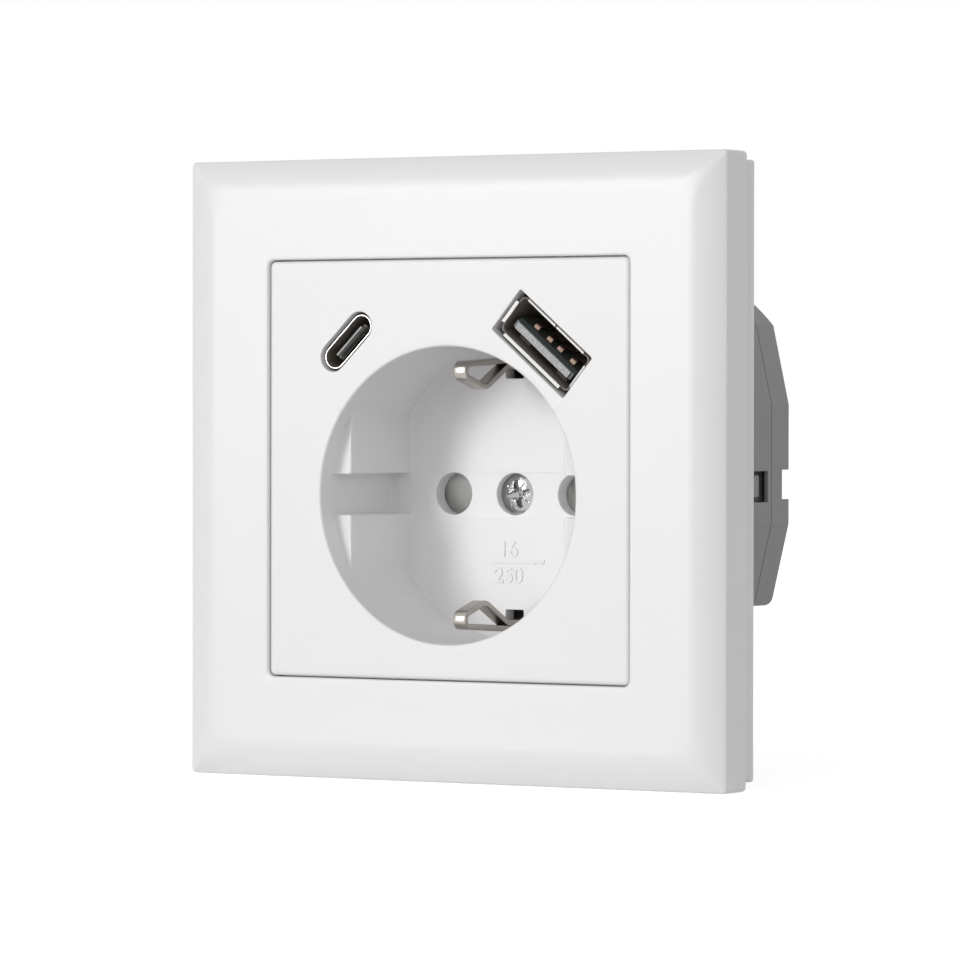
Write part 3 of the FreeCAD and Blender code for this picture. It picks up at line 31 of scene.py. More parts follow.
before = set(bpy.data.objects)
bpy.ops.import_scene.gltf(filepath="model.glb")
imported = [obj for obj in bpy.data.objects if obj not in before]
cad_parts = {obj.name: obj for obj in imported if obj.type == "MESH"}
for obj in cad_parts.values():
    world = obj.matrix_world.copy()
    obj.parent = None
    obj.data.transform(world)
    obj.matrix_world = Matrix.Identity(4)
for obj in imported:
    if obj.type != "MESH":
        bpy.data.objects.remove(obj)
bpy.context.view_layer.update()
scene = bpy.context.scene
scene.view_settings.view_transform = "Standard"

# Cover frame
# One square moulding in white polycarbonate with a satin gloss from its polished tool. Its front is
# flat, then bends back in a shallow curved bevel, and a set-back lip behind the side meets the wall.


def linear(colour):
    """sRGB hex to linear light: c/12.92 under 0.04045, otherwise ((c + 0.055)/1.055) to the power 2.4."""
    parts = np.array([int(colour[i:i + 2], 16) / 255 for i in (1, 3, 5)])
    light = np.where(parts <= 0.04045, parts / 12.92, ((parts + 0.055) / 1.055) ** 2.4)
    return (*light.tolist(), 1.0)


def add(tree, kind, inputs=None, **settings):
    """Add one shader node with its settings, and values or links for its inputs."""
    made = tree.nodes.new("ShaderNode" + kind)
    for name, value in settings.items():
        setattr(made, name, value)
    for name, value in (inputs or {}).items():
        if isinstance(value, bpy.types.NodeSocket):
            tree.links.new(value, made.inputs[name])
        else:
            made.inputs[name].default_value = value
    return made


def new_finish(name, **sockets):
    """A material with one Principled shader and its constant sockets. Returns it, its tree and the shader."""
    material = bpy.data.materials.new(name)
    material.use_nodes = True
    tree = material.node_tree
    tree.nodes.clear()
    shader = add(tree, "BsdfPrincipled", {k.replace("_", " "): v for k, v in sockets.items()})
    add(tree, "OutputMaterial", {"Surface": shader.outputs[0]})
    return material, tree, shader


def white_plastic(name, colour, shade, gloss):
    """Injection moulded polycarbonate: even colour with a faint drift, and a very shallow orange peel."""
    material, tree, shader = new_finish(name, Roughness=gloss, IOR=1.55, Specular_IOR_Level=0.45)
    # Light goes a millimetre into the plastic and softens its edges.
    shader.inputs["Subsurface Weight"].default_value = 0.06
    shader.inputs["Subsurface Radius"].default_value = (1.0, 0.9, 0.8)
    shader.inputs["Subsurface Scale"].default_value = 0.0012
    place = add(tree, "TexCoord").outputs["Object"]
    # The colour drifts over about 25 mm, as flow in the tool leaves it.
    drift = add(tree, "TexNoise", {"Vector": place, "Scale": 40.0, "Detail": 2.0})
    tint = add(tree, "Mix", {0: drift.outputs["Fac"], 6: linear(colour), 7: linear(shade)}, data_type="RGBA")
    tree.links.new(tint.outputs[2], shader.inputs["Base Color"])
    # Orange peel is about 0.6 mm from crest to crest and a few microns deep.
    peel = add(tree, "TexNoise", {"Vector": place, "Scale": 1700.0, "Detail": 3.0})
    relief = add(tree, "Bump", {"Height": peel.outputs["Fac"], "Strength": 0.10, "Distance": 0.00002})
    tree.links.new(relief.outputs[0], shader.inputs["Normal"])
    return material


def rounded_path(corners, closed=False, steps=6):
    """A line through corners (x, y, radius, ...) with an arc at each that has a radius.

    The arc leaves each leg at radius x tan(turn / 2) from the corner and its points are the middle
    plus the radius along an evenly turning angle. Further columns run linearly from corner to corner.
    """
    corners = np.array(corners, float)
    count = len(corners)
    rows = []
    for i, corner in enumerate(corners):
        if not closed and i in (0, count - 1) or corner[2] == 0:
            rows.append(np.delete(corner, 2)[None])
            continue
        before, after = corners[i - 1], corners[(i + 1) % count]
        back, ahead = before[:2] - corner[:2], after[:2] - corner[:2]
        long_back, long_ahead = np.linalg.norm(back), np.linalg.norm(ahead)
        back, ahead = back / long_back, ahead / long_ahead
        turn = math.pi - math.acos(np.clip(back @ ahead, -1, 1))
        reach = corner[2] * math.tan(turn / 2)
        middle = corner[:2] + (back + ahead) / np.linalg.norm(back + ahead) * corner[2] / math.cos(turn / 2)
        part = np.linspace(0, 1, steps + 1)[:, None]
        side = corner[:2] + back * reach - middle
        other = corner[:2] + ahead * reach - middle
        arc = middle + (side * np.sin((1 - part) * turn) + other * np.sin(part * turn)) / math.sin(turn)
        start = corner[3:] + (before[3:] - corner[3:]) * reach / long_back
        end = corner[3:] + (after[3:] - corner[3:]) * reach / long_ahead
        rows.append(np.hstack([arc, start + (end - start) * part]))
    return np.vstack(rows)


def square_rings(half, radius, depth, steps=8):
    """Round-cornered squares, one to a row: each corner's middle plus its radius along a turning angle."""
    half, radius, depth = (np.asarray(v, float)[:, None] for v in (half, radius, depth))
    angle = np.concatenate([np.linspace(0, 90, steps + 1) + 90 * k for k in range(4)]) * math.pi / 180
    across = np.repeat([1, -1, -1, 1], steps + 1)
    up = np.repeat([1, 1, -1, -1], steps + 1)
    x = across * (half - radius) + radius * np.cos(angle)
    z = up * (half - radius) + radius * np.sin(angle)
    return np.stack([x, np.broadcast_to(depth, x.shape), z], -1)


def skin(rings, closed_rows=False, closed_columns=True):
    """A grid of points as (points, quads): each point joined to the next in its row and in its column."""
    rows, columns = rings.shape[:2]
    i = np.arange(rows if closed_rows else rows - 1)[:, None]
    j = np.arange(columns if closed_columns else columns - 1)[None, :]
    below, beside = (i + 1) % rows, (j + 1) % columns
    row, next_row = i * columns, below * columns
    quads = np.stack([row + j, row + beside, next_row + beside, next_row + j], -1)
    return rings.reshape(-1, 3), quads.reshape(-1, 4)


def filled(outer, holes=(), flip=False):
    """A flat face in loops of points: the outline, less its holes, in triangles."""
    loops = [np.asarray(loop, float) for loop in (outer, *holes)]
    flat = [[Vector((p[0], p[2], 0.0)) for p in loop] for loop in loops]
    triangles = np.array(tessellate_polygon(flat))
    return np.vstack(loops), triangles[:, ::-1] if flip else triangles


def make_piece(name, surfaces, material, body="base", replaces=(), smooth=35.0, matrix=None):
    """One mesh in metres from surfaces in millimetres.

    Points at one place are merged, faces are turned outwards, and edges over the angle stay sharp.
    """
    points, faces, first = [], [], 0
    for part_points, part_faces in surfaces:
        points.append(np.asarray(part_points, float))
        faces += (np.asarray(part_faces) + first).tolist()
        first += len(part_points)
    mesh = bpy.data.meshes.new(name)
    mesh.from_pydata((np.vstack(points) / 1000).tolist(), [], faces)
    if matrix is not None:
        mesh.transform(matrix)
    work = bmesh.new()
    work.from_mesh(mesh)
    bmesh.ops.remove_doubles(work, verts=work.verts, dist=2e-7)
    bmesh.ops.recalc_face_normals(work, faces=work.faces)
    work.to_mesh(mesh)
    work.free()
    mesh.polygons.foreach_set("use_smooth", np.ones(len(mesh.polygons), bool))
    mesh.set_sharp_from_angle(angle=math.radians(smooth))
    mesh.materials.append(material)
    piece = bpy.data.objects.new(name, mesh)
    scene.collection.objects.link(piece)
    weighted = piece.modifiers.new("even shading", "WEIGHTED_NORMAL")
    weighted.keep_sharp = True
    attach(piece, body)
    if replaces:
        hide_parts(*replaces)
    return piece


frame_white = white_plastic("polycarbonate_frame_satin", "#F4F4F4", "#F1F1F1", 0.32)
plate_white = white_plastic("polycarbonate_plate_satin", "#F3F2F3", "#F0EFF0", 0.34)

# Half sides of the frame's squares, and depths. The front is flat as far as the bevel's start.
frame_half, frame_front = 41, -10.85
bevel_start, bevel_radius = 36, 8
lip_half, lip_front = 39.5, -3.35
window_half, collar_half, seat_back = 27.675, 29.275, -8.4

bevel_width = frame_half - bevel_start
bevel_turn = np.linspace(0.0, math.asin(bevel_width / bevel_radius), 15)
bevel = np.stack([bevel_start + bevel_radius * np.sin(bevel_turn),
                  frame_front + bevel_radius * (1 - np.cos(bevel_turn))], 1)
# The mitres are sharpest at the outer edge and fade where the bevel runs into the flat front.
mitre = 0.6 + 2.6 * (1 - (bevel[:, 0] - bevel_start) / bevel_width) ** 1.5
# Round the section from the bevel's end: half side, depth, rounding of the edge, corner radius of the square.
outer_side = rounded_path(
    [(bevel[-2, 0], bevel[-2, 1], 0, mitre[-2]), (frame_half, -9.095, 0.4, 0.5),
     (frame_half, lip_front, 0.85, 0.5), (lip_half, lip_front, 0.1, 0.4), (40, -1.0, 0.3, 0.4),
     (40, 0, 0.2, 0.4), (38, 0, 0.2, 0.4), (38, -8.25, 1.0, 1.0), (collar_half, -8.25, 0.3, 1.0),
     (collar_half, -7.2, 0.2, 1.0), (25.775, -7.2, 0.2, 1.0), (25.775, seat_back, 0.2, 1.0),
     (window_half, seat_back, 0.0, 0.95), (window_half, frame_front, 0.32, 0.95),
     (29.2, frame_front, 0, 1.2)])
profile = np.vstack([np.column_stack([bevel[:-2], mitre[:-2]]), outer_side])
frame_body = skin(square_rings(profile[:, 0], profile[:, 2], profile[:, 1]), closed_rows=True)
collar_parts = []
for turn in range(4):
    # The collar stands on the support ring at its corners only, as an L in plan.
    plan = rounded_path([(9, window_half, 0), (window_half, window_half, 0.95), (window_half, 9, 0),
                         (collar_half, 9, 0), (collar_half, collar_half, 1.0), (9, collar_half, 0)])
    cosine, sine = math.cos(turn * math.pi / 2), math.sin(turn * math.pi / 2)
    plan = plan @ np.array([[cosine, sine], [-sine, cosine]])
    rings = np.stack([np.insert(plan, 1, y, axis=1) for y in (-7.4, -1.2)])
    collar_parts += [skin(rings), filled(rings[1])]
make_piece("cover_frame_moulding", [frame_body, *collar_parts], frame_white, replaces=["cover_frame"])

# Centre plate and plug recess
# One white moulding: a 55 mm square plate that carries the round recess for the plug. Two pairs of
# guide flats in the wall leave a groove at each side, and the floor has the openings for pins and clips.

# The recess's middle lies under the plate's middle. Depths of the plate's front and back, of the recess
# floor and of the moulding's back, the round wall's radius, and the half width of the groove and of the
# gap between the guide flats.
pot_z = -3.4
plate_front, plate_back = -10.6, -8.4
floor_front, floor_back = 6.9, 9.1
pot_radius, groove_half, guide_half = 19.5, 2.7, 16.25


def turned_loop(loop, across, up, turn):
    """A loop of (x, z) turned about its middle by an angle in degrees, then moved."""
    angle = math.radians(turn)
    x = loop[:, 0] * math.cos(angle) - loop[:, 1] * math.sin(angle) + across
    z = loop[:, 0] * math.sin(angle) + loop[:, 1] * math.cos(angle) + up
    return np.stack([x, z], 1)


def at_depth(loop, depth):
    """A loop of (x, z) as points at one depth."""
    return np.column_stack([loop[:, 0], np.full(len(loop), depth), loop[:, 1]])


def box_loop(half_x, half_z, radius, steps=6):
    """A round-cornered rectangle as (x, z): each corner's middle plus the radius along a turning angle."""
    angle = np.concatenate([np.linspace(0, 90, steps + 1) + 90 * k for k in range(4)]) * math.pi / 180
    x = np.repeat([1, -1, -1, 1], steps + 1) * (half_x - radius) + radius * np.cos(angle)
    z = np.repeat([1, 1, -1, -1], steps + 1) * (half_z - radius) + radius * np.sin(angle)
    return np.stack([x, z], 1)


def circle_loop(radius, count=64, across=0.0, up=0.0):
    """A circle as (x, z): its middle plus the radius along an evenly turning angle."""
    angle = np.arange(count) * 2 * math.pi / count
    return np.stack([across + radius * np.cos(angle), up + radius * np.sin(angle)], 1)


def rounded_hole(loop_at, edge, front, back):
    """Rings of a hole through a plate: its outline at loop_at(0), with a front edge rolled by a radius.

    The roll is a quarter circle: the outline grows by edge x (1 - sin t) at the depth edge x (1 - cos t).
    """
    turn = np.linspace(0, math.pi / 2, 5)
    rings = [at_depth(loop_at(edge * (1 - math.sin(t))), front + edge * (1 - math.cos(t))) for t in turn]
    rings.append(at_depth(loop_at(0.0), back))
    return np.stack(rings)


# Middle (x, z) and turn in degrees of the flat and the oval port.
flat_port, oval_port = (14.46, 16.40, -40), (-15.5, 16.8, 44.5)
flat_cut = rounded_hole(lambda e: turned_loop(box_loop(7.0 + e, 3.375 + e, 0.25 + e), *flat_port),
                        0.12, plate_front, plate_back)
oval_cut = rounded_hole(lambda e: turned_loop(box_loop(4.8 + e, 1.93 + e, 1.9299 + e, 10), *oval_port),
                        0.12, plate_front, plate_back)


def wall_arc(degrees):
    """Points of the round wall: its radius along the angles."""
    angle = np.radians(degrees)
    return pot_radius * np.stack([np.cos(angle), np.sin(angle)], 1)


# Outline of the recess below the guide shelves, first quarter: groove, guide flat, round wall.
along_flat = [(guide_half, z, 0) for z in np.linspace(3.3, 9.4, 10)]
shoulder = rounded_path([(19.40, 1.9, 0), (19.312, groove_half, 0.3), (guide_half, groove_half, 0.35),
                         *along_flat, (guide_half, 10.78, 1.2), (15.2, 12.215, 0)], steps=7)
quarter = np.vstack([wall_arc([0, 2.5, 5.0]), shoulder[1:-1], wall_arc(np.linspace(41, 90, 22))])
left_up = quarter[-2::-1] * (-1, 1)
half_wall = np.vstack([quarter, left_up])
lower_wall = np.vstack([half_wall, half_wall[-2:0:-1] * (1, -1)])
bearing = np.arctan2(lower_wall[:, 1], lower_wall[:, 0])
round_wall = pot_radius * np.stack([np.cos(bearing), np.sin(bearing)], 1)
shelf_width = np.linalg.norm(round_wall - lower_wall, axis=1)
# The shelf has its full form where it is 1.2 mm wide or more.
shelf_share = np.clip(shelf_width / 1.2, 0, 1)


def wall_row(radius_scale, inward, plain_depth, shelf_depth=None, shrink=0.0):
    """A ring of the recess wall: part way from the round wall to the guide outline, at a depth of its own
    where there is a shelf, and drawn in towards the middle by shrink."""
    loop = (round_wall + (lower_wall - round_wall) * inward) * radius_scale
    loop = loop * (1 - shrink / np.linalg.norm(loop, axis=1))[:, None]
    depth = np.full(len(loop), plain_depth)
    if shelf_depth is not None:
        depth = depth + (shelf_depth - plain_depth) * shelf_share
    return np.column_stack([loop[:, 0], depth, loop[:, 1] + pot_z])


rim_roll, floor_fillet = 0.3, 0.22
rows = [wall_row(1 + rim_roll * (1 - math.sin(t)) / pot_radius, 0, plate_front + rim_roll * (1 - math.cos(t)))
        for t in np.linspace(0, math.pi / 2, 6)]
rows.append(wall_row(1, 0, -8.9, -8.6))
# The shelf has a concave root by the wall, rises a little towards the middle and rolls over its edge.
for number, (inward, shelf_depth) in enumerate(
    [(0, -7.95), (0.02, -7.78), (0.06, -7.68), (0.12, -7.68), (0.3, -7.80), (0.6, -7.96), (0.8, -8.04),
     (0.88, -8.06), (0.93, -8.03), (0.97, -7.92), (0.993, -7.75), (1.0, -7.5)]):
    rows.append(wall_row(1, inward, -8.5 + number * 0.09, shelf_depth))
fillet_start = floor_front - floor_fillet
rows += [wall_row(1, 1, y) for y in (-4.0, 0.0, 4.0, fillet_start)]
for t in np.linspace(0.25, 1.0, 4) * math.pi / 2:
    depth = fillet_start + floor_fillet * math.sin(t)
    rows.append(wall_row(1, 1, depth, shrink=floor_fillet * (1 - math.cos(t))))
# A last ring lies flat on the floor, so that the fillet's shading ends there.
rows.append(wall_row(1, 1, floor_front, shrink=floor_fillet + 0.12))
recess_wall = np.stack(rows)

edge = rounded_path([(26.8, plate_front, 0, 0.4), (27.5, plate_front, 0.45, 0.8),
                     (27.5, plate_back, 0.15, 0.8), (27.2, plate_back, 0, 0.7)])
plate_edge = square_rings(edge[:, 0], edge[:, 2], edge[:, 1])
pin_holes = [rounded_hole(lambda e: circle_loop(2.8 + e, 64, x, pot_z), 0.15, floor_front, floor_back)
             for x in (-9.5, 9.5)]
clip_holes = [rounded_hole(lambda e: box_loop(1.4 + e, 1.725 + e, 0.2 + e, 3) + (0, pot_z + side * 17.125),
                           0.05, floor_front, floor_back) for side in (-1, 1)]


def turned_shape(count, stations):
    """Rings about the plug's axis, one for each radius and depth."""
    return np.stack([at_depth(circle_loop(radius, count, 0, pot_z), depth) for radius, depth in stations])


# The screw's head lies in a bore, and its shank passes a collar that stands out of the floor's back.
screw_seat = turned_shape(64, [(2.95, floor_front), (2.83, 6.95), (2.78, 7.1), (2.75, 8.8), (1.7, 8.8),
                               (1.7, 11.7), (3.7, 11.7), (3.7, floor_back)])
pot_back = turned_shape(96, [(21.05, plate_back), (21.05, 8.8), (20.95, 9.02), (20.75, floor_back)])
openings = [recess_wall[0], flat_cut[0], oval_cut[0]]
floor_holes = [*(hole[0] for hole in pin_holes), *(hole[0] for hole in clip_holes), screw_seat[0]]
back_holes = [*(hole[-1] for hole in pin_holes), *(hole[-1] for hole in clip_holes), screw_seat[-1]]
# A skirt behind the plate's edge locates it in the frame.
skirt = rounded_path([(25.625, -8.5, 0, 0.8), (25.625, -6.0, 0.2, 0.8), (24.425, -6.0, 0.2, 0.8),
                      (24.425, -8.5, 0, 0.8)])
make_piece(
    "centre_plate_moulding",
    [filled(plate_edge[0], openings), skin(plate_edge),
     filled(plate_edge[-1], [pot_back[0], flat_cut[-1], oval_cut[-1]], True),
     skin(flat_cut), skin(oval_cut), skin(recess_wall), filled(recess_wall[-1], floor_holes),
     *(skin(hole) for hole in pin_holes + clip_holes), skin(screw_seat), skin(pot_back),
     filled(pot_back[-1], back_holes, True),
     skin(square_rings(skirt[:, 0], skirt[:, 2], skirt[:, 1]), closed_rows=True)],
    plate_white, replaces=["centre_plate"])

# Rating figures stand 0.13 mm proud of the floor, engraved in the tool: a current over a bar over a voltage,
# with the wave of alternating current at the end of the bar. Words, left, low, height and letter spacing.
figures = (("rating_current", "16", -2.40, -11.72, 2.12, 1.02),
           ("rating_voltage", "250", -3.14, -15.2, 2.12, 1.02),
           ("rating_wave", "~", 3.1, -13.15, 1.9, 1.0))
# A capital of the built-in letters is 0.72 of their size high.
size_per_height = 1.38
for name, words, left, low, height, spacing in figures:
    text = bpy.data.curves.new(name, "FONT")
    text.body = words
    text.size = height * size_per_height
    text.extrude = 0.10
    text.offset = 0.03
    text.bevel_depth = 0.035
    text.bevel_resolution = 1
    text.space_character = spacing
    lettering = bpy.data.objects.new(name + "_text", text)
    scene.collection.objects.link(lettering)
    bpy.context.view_layer.update()
    mesh = bpy.data.meshes.new_from_object(lettering.evaluated_get(bpy.context.evaluated_depsgraph_get()))
    bpy.data.objects.remove(lettering)
    placed = Matrix.Translation((left / 1000, floor_front / 1000, low / 1000))
    mesh.transform(placed @ Matrix.Rotation(math.pi / 2, 4, "X") @ Matrix.Scale(0.001, 4))
    mesh.materials.clear()
    mesh.materials.append(plate_white)
    figure = bpy.data.objects.new(name, mesh)
    scene.collection.objects.link(figure)
    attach(figure, "base")
bar_rings = np.stack([at_depth(box_loop(3.35 - d, 0.13 - d, 0.05, 2) + (-0.15, -12.53), y)
                      for d, y in ((0, 6.95), (0, 6.81), (0.03, 6.78))])
make_piece("rating_bar", [skin(bar_rings), filled(bar_rings[-1])], plate_white)

# Centre screw
# Pan head machine screw, cold headed from steel, with a bright zinc coat. Small ticks stand between
# the arms of its cross recess.

zinc, tree, shader = new_finish("zinc_plated_steel_bright", Metallic=1.0, Roughness=0.14)
shader.inputs["Base Color"].default_value = linear("#B3B4B4")
place = add(tree, "TexCoord").outputs["Object"]
cloud = add(tree, "TexNoise", {"Vector": place, "Scale": 900.0, "Detail": 4.0})
haze = add(tree, "MapRange", {"Value": cloud.outputs["Fac"], "To Min": 0.08, "To Max": 0.2})
tree.links.new(haze.outputs[0], shader.inputs["Roughness"])
dent = add(tree, "Bump", {"Height": cloud.outputs["Fac"], "Strength": 0.8, "Distance": 0.00016})
tree.links.new(dent.outputs[0], shader.inputs["Normal"])

head_radius, head_front, crown = 2.5, 7.6, 0.42
radius = np.concatenate([np.linspace(0.0, 2.1, 57), np.linspace(2.14, head_radius, 9)])[:, None]
angle = np.linspace(0, 2 * math.pi, 241)[:-1][None, :]
# The screw was left turned by 12 degrees.
turned = angle - math.radians(12)
x, z = radius * np.cos(turned), radius * np.sin(turned)


def arm_depth(along, beside, half_width, reach, depth):
    """Depth of one recess arm: full in the middle, falling to nothing at its reach, with steep sides."""
    slope = np.clip((reach - np.abs(along)) / reach, 0, 1) ** 0.7
    side = np.clip((half_width * (1.25 - 0.35 * np.abs(along) / reach) - np.abs(beside)) / 0.12, 0, 1)
    return depth * slope * side


def cross_depth(x, z, half_width, reach, depth):
    """Depth of a cross: the deeper of its two arms."""
    return np.maximum(arm_depth(x, z, half_width, reach, depth), arm_depth(z, x, half_width, reach, depth))


recess = cross_depth(x, z, 0.40, 1.85, 1.3)
# A round pocket lies where the arms meet.
recess = np.maximum(recess, 0.75 * np.clip((1.0 - radius) / 0.35, 0, 1))
ticks = cross_depth((x + z) / math.sqrt(2), (x - z) / math.sqrt(2), 0.14, 2.0, 0.34) * (radius > 0.7)
dome = head_front + crown * (radius / head_radius) ** 2.4
head_depth = dome + np.maximum(recess, ticks)
head = np.stack([radius * np.cos(angle), head_depth, radius * np.sin(angle) + pot_z], -1)
under = turned_shape(240, [(head_radius, head_front + crown), (head_radius, 8.7), (2.4, 8.8), (1.5, 8.8),
                           (1.5, 17.5), (1.2, 17.8), (0.0, 17.8)])
make_piece("centre_screw_headed", [skin(head), skin(under)], zinc, replaces=["centre_screw"], smooth=40)

# Earth strap
# One strip of nickel plated bronze, 0.8 mm thick, punched and folded: a narrow springy clip loops forward
# at each end, and the wide middle is threaded for the centre screw.

strip_metal, tree, shader = new_finish("nickel_plated_bronze_strip", Metallic=1.0, Roughness=0.22)
place = add(tree, "TexCoord").outputs["Object"]
# Rolling lines run across the strip, 0.08 mm apart, and are drawn at 0.15 mm to show.
lines = add(tree, "Mapping", {"Vector": place, "Scale": (6500.0, 400.0, 400.0)})
rolled = add(tree, "TexNoise", {"Vector": lines.outputs[0], "Scale": 1.0, "Detail": 2.0})
sheen = add(tree, "MapRange", {"Value": rolled.outputs["Fac"], "To Min": 0.16, "To Max": 0.32})
tree.links.new(sheen.outputs[0], shader.inputs["Roughness"])
cloud = add(tree, "TexNoise", {"Vector": place, "Scale": 260.0, "Detail": 3.0})
tone = add(tree, "Mix", {0: cloud.outputs["Fac"], 6: linear("#B9B5AF"), 7: linear("#A39E97")},
           data_type="RGBA")
tree.links.new(tone.outputs[2], shader.inputs["Base Color"])
grain = add(tree, "Bump", {"Height": rolled.outputs["Fac"], "Strength": 0.15, "Distance": 0.00001})
tree.links.new(grain.outputs[0], shader.inputs["Normal"])


def with_ends(rings):
    """The skin of a bar's rings, and a face over each end."""
    loop = [list(range(rings.shape[1]))]
    return [skin(rings), (rings[0], loop), (rings[-1], loop)]


def carried_strip(path, width, thick, corner=0.18, across=0.0):
    """A strip with rounded edges carried along a path of (y, z), each section square to the path there."""
    ahead = np.gradient(path, axis=0)
    ahead /= np.linalg.norm(ahead, axis=1)[:, None]
    square = np.stack([-ahead[:, 1], ahead[:, 0]], 1)
    section = box_loop(width / 2, thick / 2, corner, 3)
    x = np.broadcast_to(section[:, 0] + across, (len(path), len(section)))
    yz = path[:, None, :] + square[:, None, :] * section[:, 1][None, :, None]
    return with_ends(np.concatenate([x[..., None], yz], -1))


strip_width, strip_thick = 1.9, 0.8
# A clip from its tip to the strap's middle: depth, height over the plug's axis, radius of the bend.
clip_path = np.array([(7.7, 16.95, 0), (3.97, 17.1, 1.2), (-1.87, 14.15, 2.2), (-6.85, 15.6, 0.78),
                      (-6.85, 17.2, 0.78), (13.3, 18.35, 1.0), (13.3, 12.0, 0)])
strap_surfaces = []
for side in (-1, 1):
    clip = rounded_path(clip_path * (1, side, 1) + (0, pot_z, 0), steps=12)
    strap_surfaces += carried_strip(clip, strip_width, strip_thick)
bed = np.stack([at_depth(box_loop(2.8, 13.0, 1.0) + (0, pot_z), 13.3 + half)
                for half in (-strip_thick / 2, strip_thick / 2)])
strap_surfaces += [skin(bed), filled(bed[0]), filled(bed[1])]
make_piece("earth_strap_folded", strap_surfaces, strip_metal, replaces=["earth_strap"], smooth=50)

# Flat charging port
# Shell folded from 0.3 mm nickel plated steel. Each wall ends in a lip that flares outwards and stops short
# of the corners, the sheet's seam parts the upper lip, and sprung fingers bend in from the long walls.

shell_metal, tree, shader = new_finish("nickel_plated_steel_sheet", Metallic=1.0, Roughness=0.16)
place = add(tree, "TexCoord").outputs["Object"]
smear = add(tree, "TexNoise", {"Vector": place, "Scale": 420.0, "Detail": 3.0})
polish = add(tree, "MapRange", {"Value": smear.outputs["Fac"], "To Min": 0.14, "To Max": 0.30})
# The rim is bright, and the walls behind it turn dull within 0.4 mm, where their colour also darkens as
# painted shade.
inward = add(tree, "SeparateXYZ", {"Vector": place}).outputs["Y"]
dull_and_painted_shade = add(tree, "MapRange", {"Value": inward, "From Min": -0.0100, "From Max": -0.0096})
gloss = add(tree, "Math", {0: dull_and_painted_shade.outputs[0], 1: 0.4, 2: polish.outputs[0]}, operation="MULTIPLY_ADD")
tree.links.new(gloss.outputs[0], shader.inputs["Roughness"])
tone = add(tree, "Mix", {0: smear.outputs["Fac"], 6: linear("#F4F3F1"), 7: linear("#E6E3E0")},
           data_type="RGBA")
# Painted shade: behind the rim the base colour darkens to #ABA39B, standing in for the shade inside the
# shell.
tone = add(tree, "Mix", {0: dull_and_painted_shade.outputs[0], 6: tone.outputs[2], 7: linear("#ABA39B")}, data_type="RGBA")
tree.links.new(tone.outputs[2], shader.inputs["Base Color"])
# Drawing marks run along the walls, about 0.1 mm apart.
drawn = add(tree, "Mapping", {"Vector": place, "Scale": (9000.0, 500.0, 9000.0)})
scratches = add(tree, "TexNoise", {"Vector": drawn.outputs[0], "Scale": 1.0, "Detail": 2.0})
marks = add(tree, "Bump", {"Height": scratches.outputs["Fac"], "Strength": 0.25, "Distance": 0.00001})
tree.links.new(marks.outputs[0], shader.inputs["Normal"])


def port_place(across, up, turn):
    """Matrix of a port: its own X along its long side, turned in the plate's plane and moved."""
    return Matrix.Translation((across / 1000, 0, up / 1000)) @ Matrix.Rotation(math.radians(-turn), 4, "Y")


def shell_rings(half_x, half_z, radius, steps, offsets):
    """Rings of a shell: its outline grown by each offset, at the depth that goes with it."""
    return np.stack([at_depth(box_loop(half_x + g, half_z + g, max(radius + g, 0.02), steps), depth)
                     for g, depth in offsets])


def swapped_sides(surfaces):
    """The same surfaces with X and Z exchanged, for the short walls."""
    return [(np.asarray(points)[:, ::-1], faces) for points, faces in surfaces]


flat_place = port_place(*flat_port)
flat_half_x, flat_half_z, shell_wall = 6.55, 2.85, 0.3
flat_rings = shell_rings(flat_half_x, flat_half_z, 0.7, 5,
                         [(0, 3.85), (0, -9.55), (-0.06, -9.70), (-0.13, -9.74), (-0.20, -9.66),
                          (-shell_wall, -9.2), (-shell_wall, 3.55)])
flat_shell = [skin(flat_rings), filled(flat_rings[0]), filled(flat_rings[-1])]
# Paths of a lip, over its wall's outer face, and of a finger: depth, height, radius of the bend.
lip = np.array([(-9.35, -0.15, 0), (-9.90, -0.15, 0.26), (-10.10, 0.22, 0)])
finger = np.array([(-1.0, 2.62, 0), (-2.2, 2.58, 1.5), (-5.9, 1.98, 1.0), (-7.4, 2.45, 0)])
for side in (-1, 1):
    long_lip = rounded_path((lip + (0, flat_half_z, 0)) * (1, side, 1), steps=6)
    short_lip = rounded_path((lip + (0, flat_half_x, 0)) * (1, side, 1), steps=6)
    # The seam parts the upper lip.
    halves = ((-2.75, 5.3), (2.75, 5.3)) if side > 0 else ((0.0, 10.8),)
    for middle, width in halves:
        flat_shell += carried_strip(long_lip, width, 0.22, 0.06, middle)
    flat_shell += swapped_sides(carried_strip(short_lip, 3.5, 0.22, 0.06))
    for middle in (-3.6, 3.6):
        flat_shell += carried_strip(rounded_path(finger * (1, side, 1)), 1.9, 0.26, 0.05, middle)
make_piece("usb_a_shell_folded", flat_shell, shell_metal,
           replaces=["usb_a_shell"], matrix=flat_place, smooth=50)

# The tongue is moulded in two shots: a dark body with a sloped top, and a pale wear strip for a nose.
nose_pale, tree, shader = new_finish("liquid_crystal_polymer_pale", Roughness=0.42)
place = add(tree, "TexCoord").outputs["Object"]
fibres = add(tree, "TexNoise", {"Vector": place, "Scale": 3800.0, "Detail": 3.0, "Roughness": 0.7})
fleck = add(tree, "MapRange", {"Value": fibres.outputs["Fac"], "From Min": 0.35, "From Max": 0.68})
tone = add(tree, "Mix", {0: fleck.outputs[0], 6: linear("#86888A"), 7: linear("#C0C1C2")}, data_type="RGBA")
tree.links.new(tone.outputs[2], shader.inputs["Base Color"])
body_dark, tree, shader = new_finish("liquid_crystal_polymer_dark", Roughness=0.38)
place = add(tree, "TexCoord").outputs["Object"]
cloud = add(tree, "TexNoise", {"Vector": place, "Scale": 900.0, "Detail": 3.0})
tone = add(tree, "Mix", {0: cloud.outputs["Fac"], 6: linear("#4A5150"), 7: linear("#3C4240")},
           data_type="RGBA")
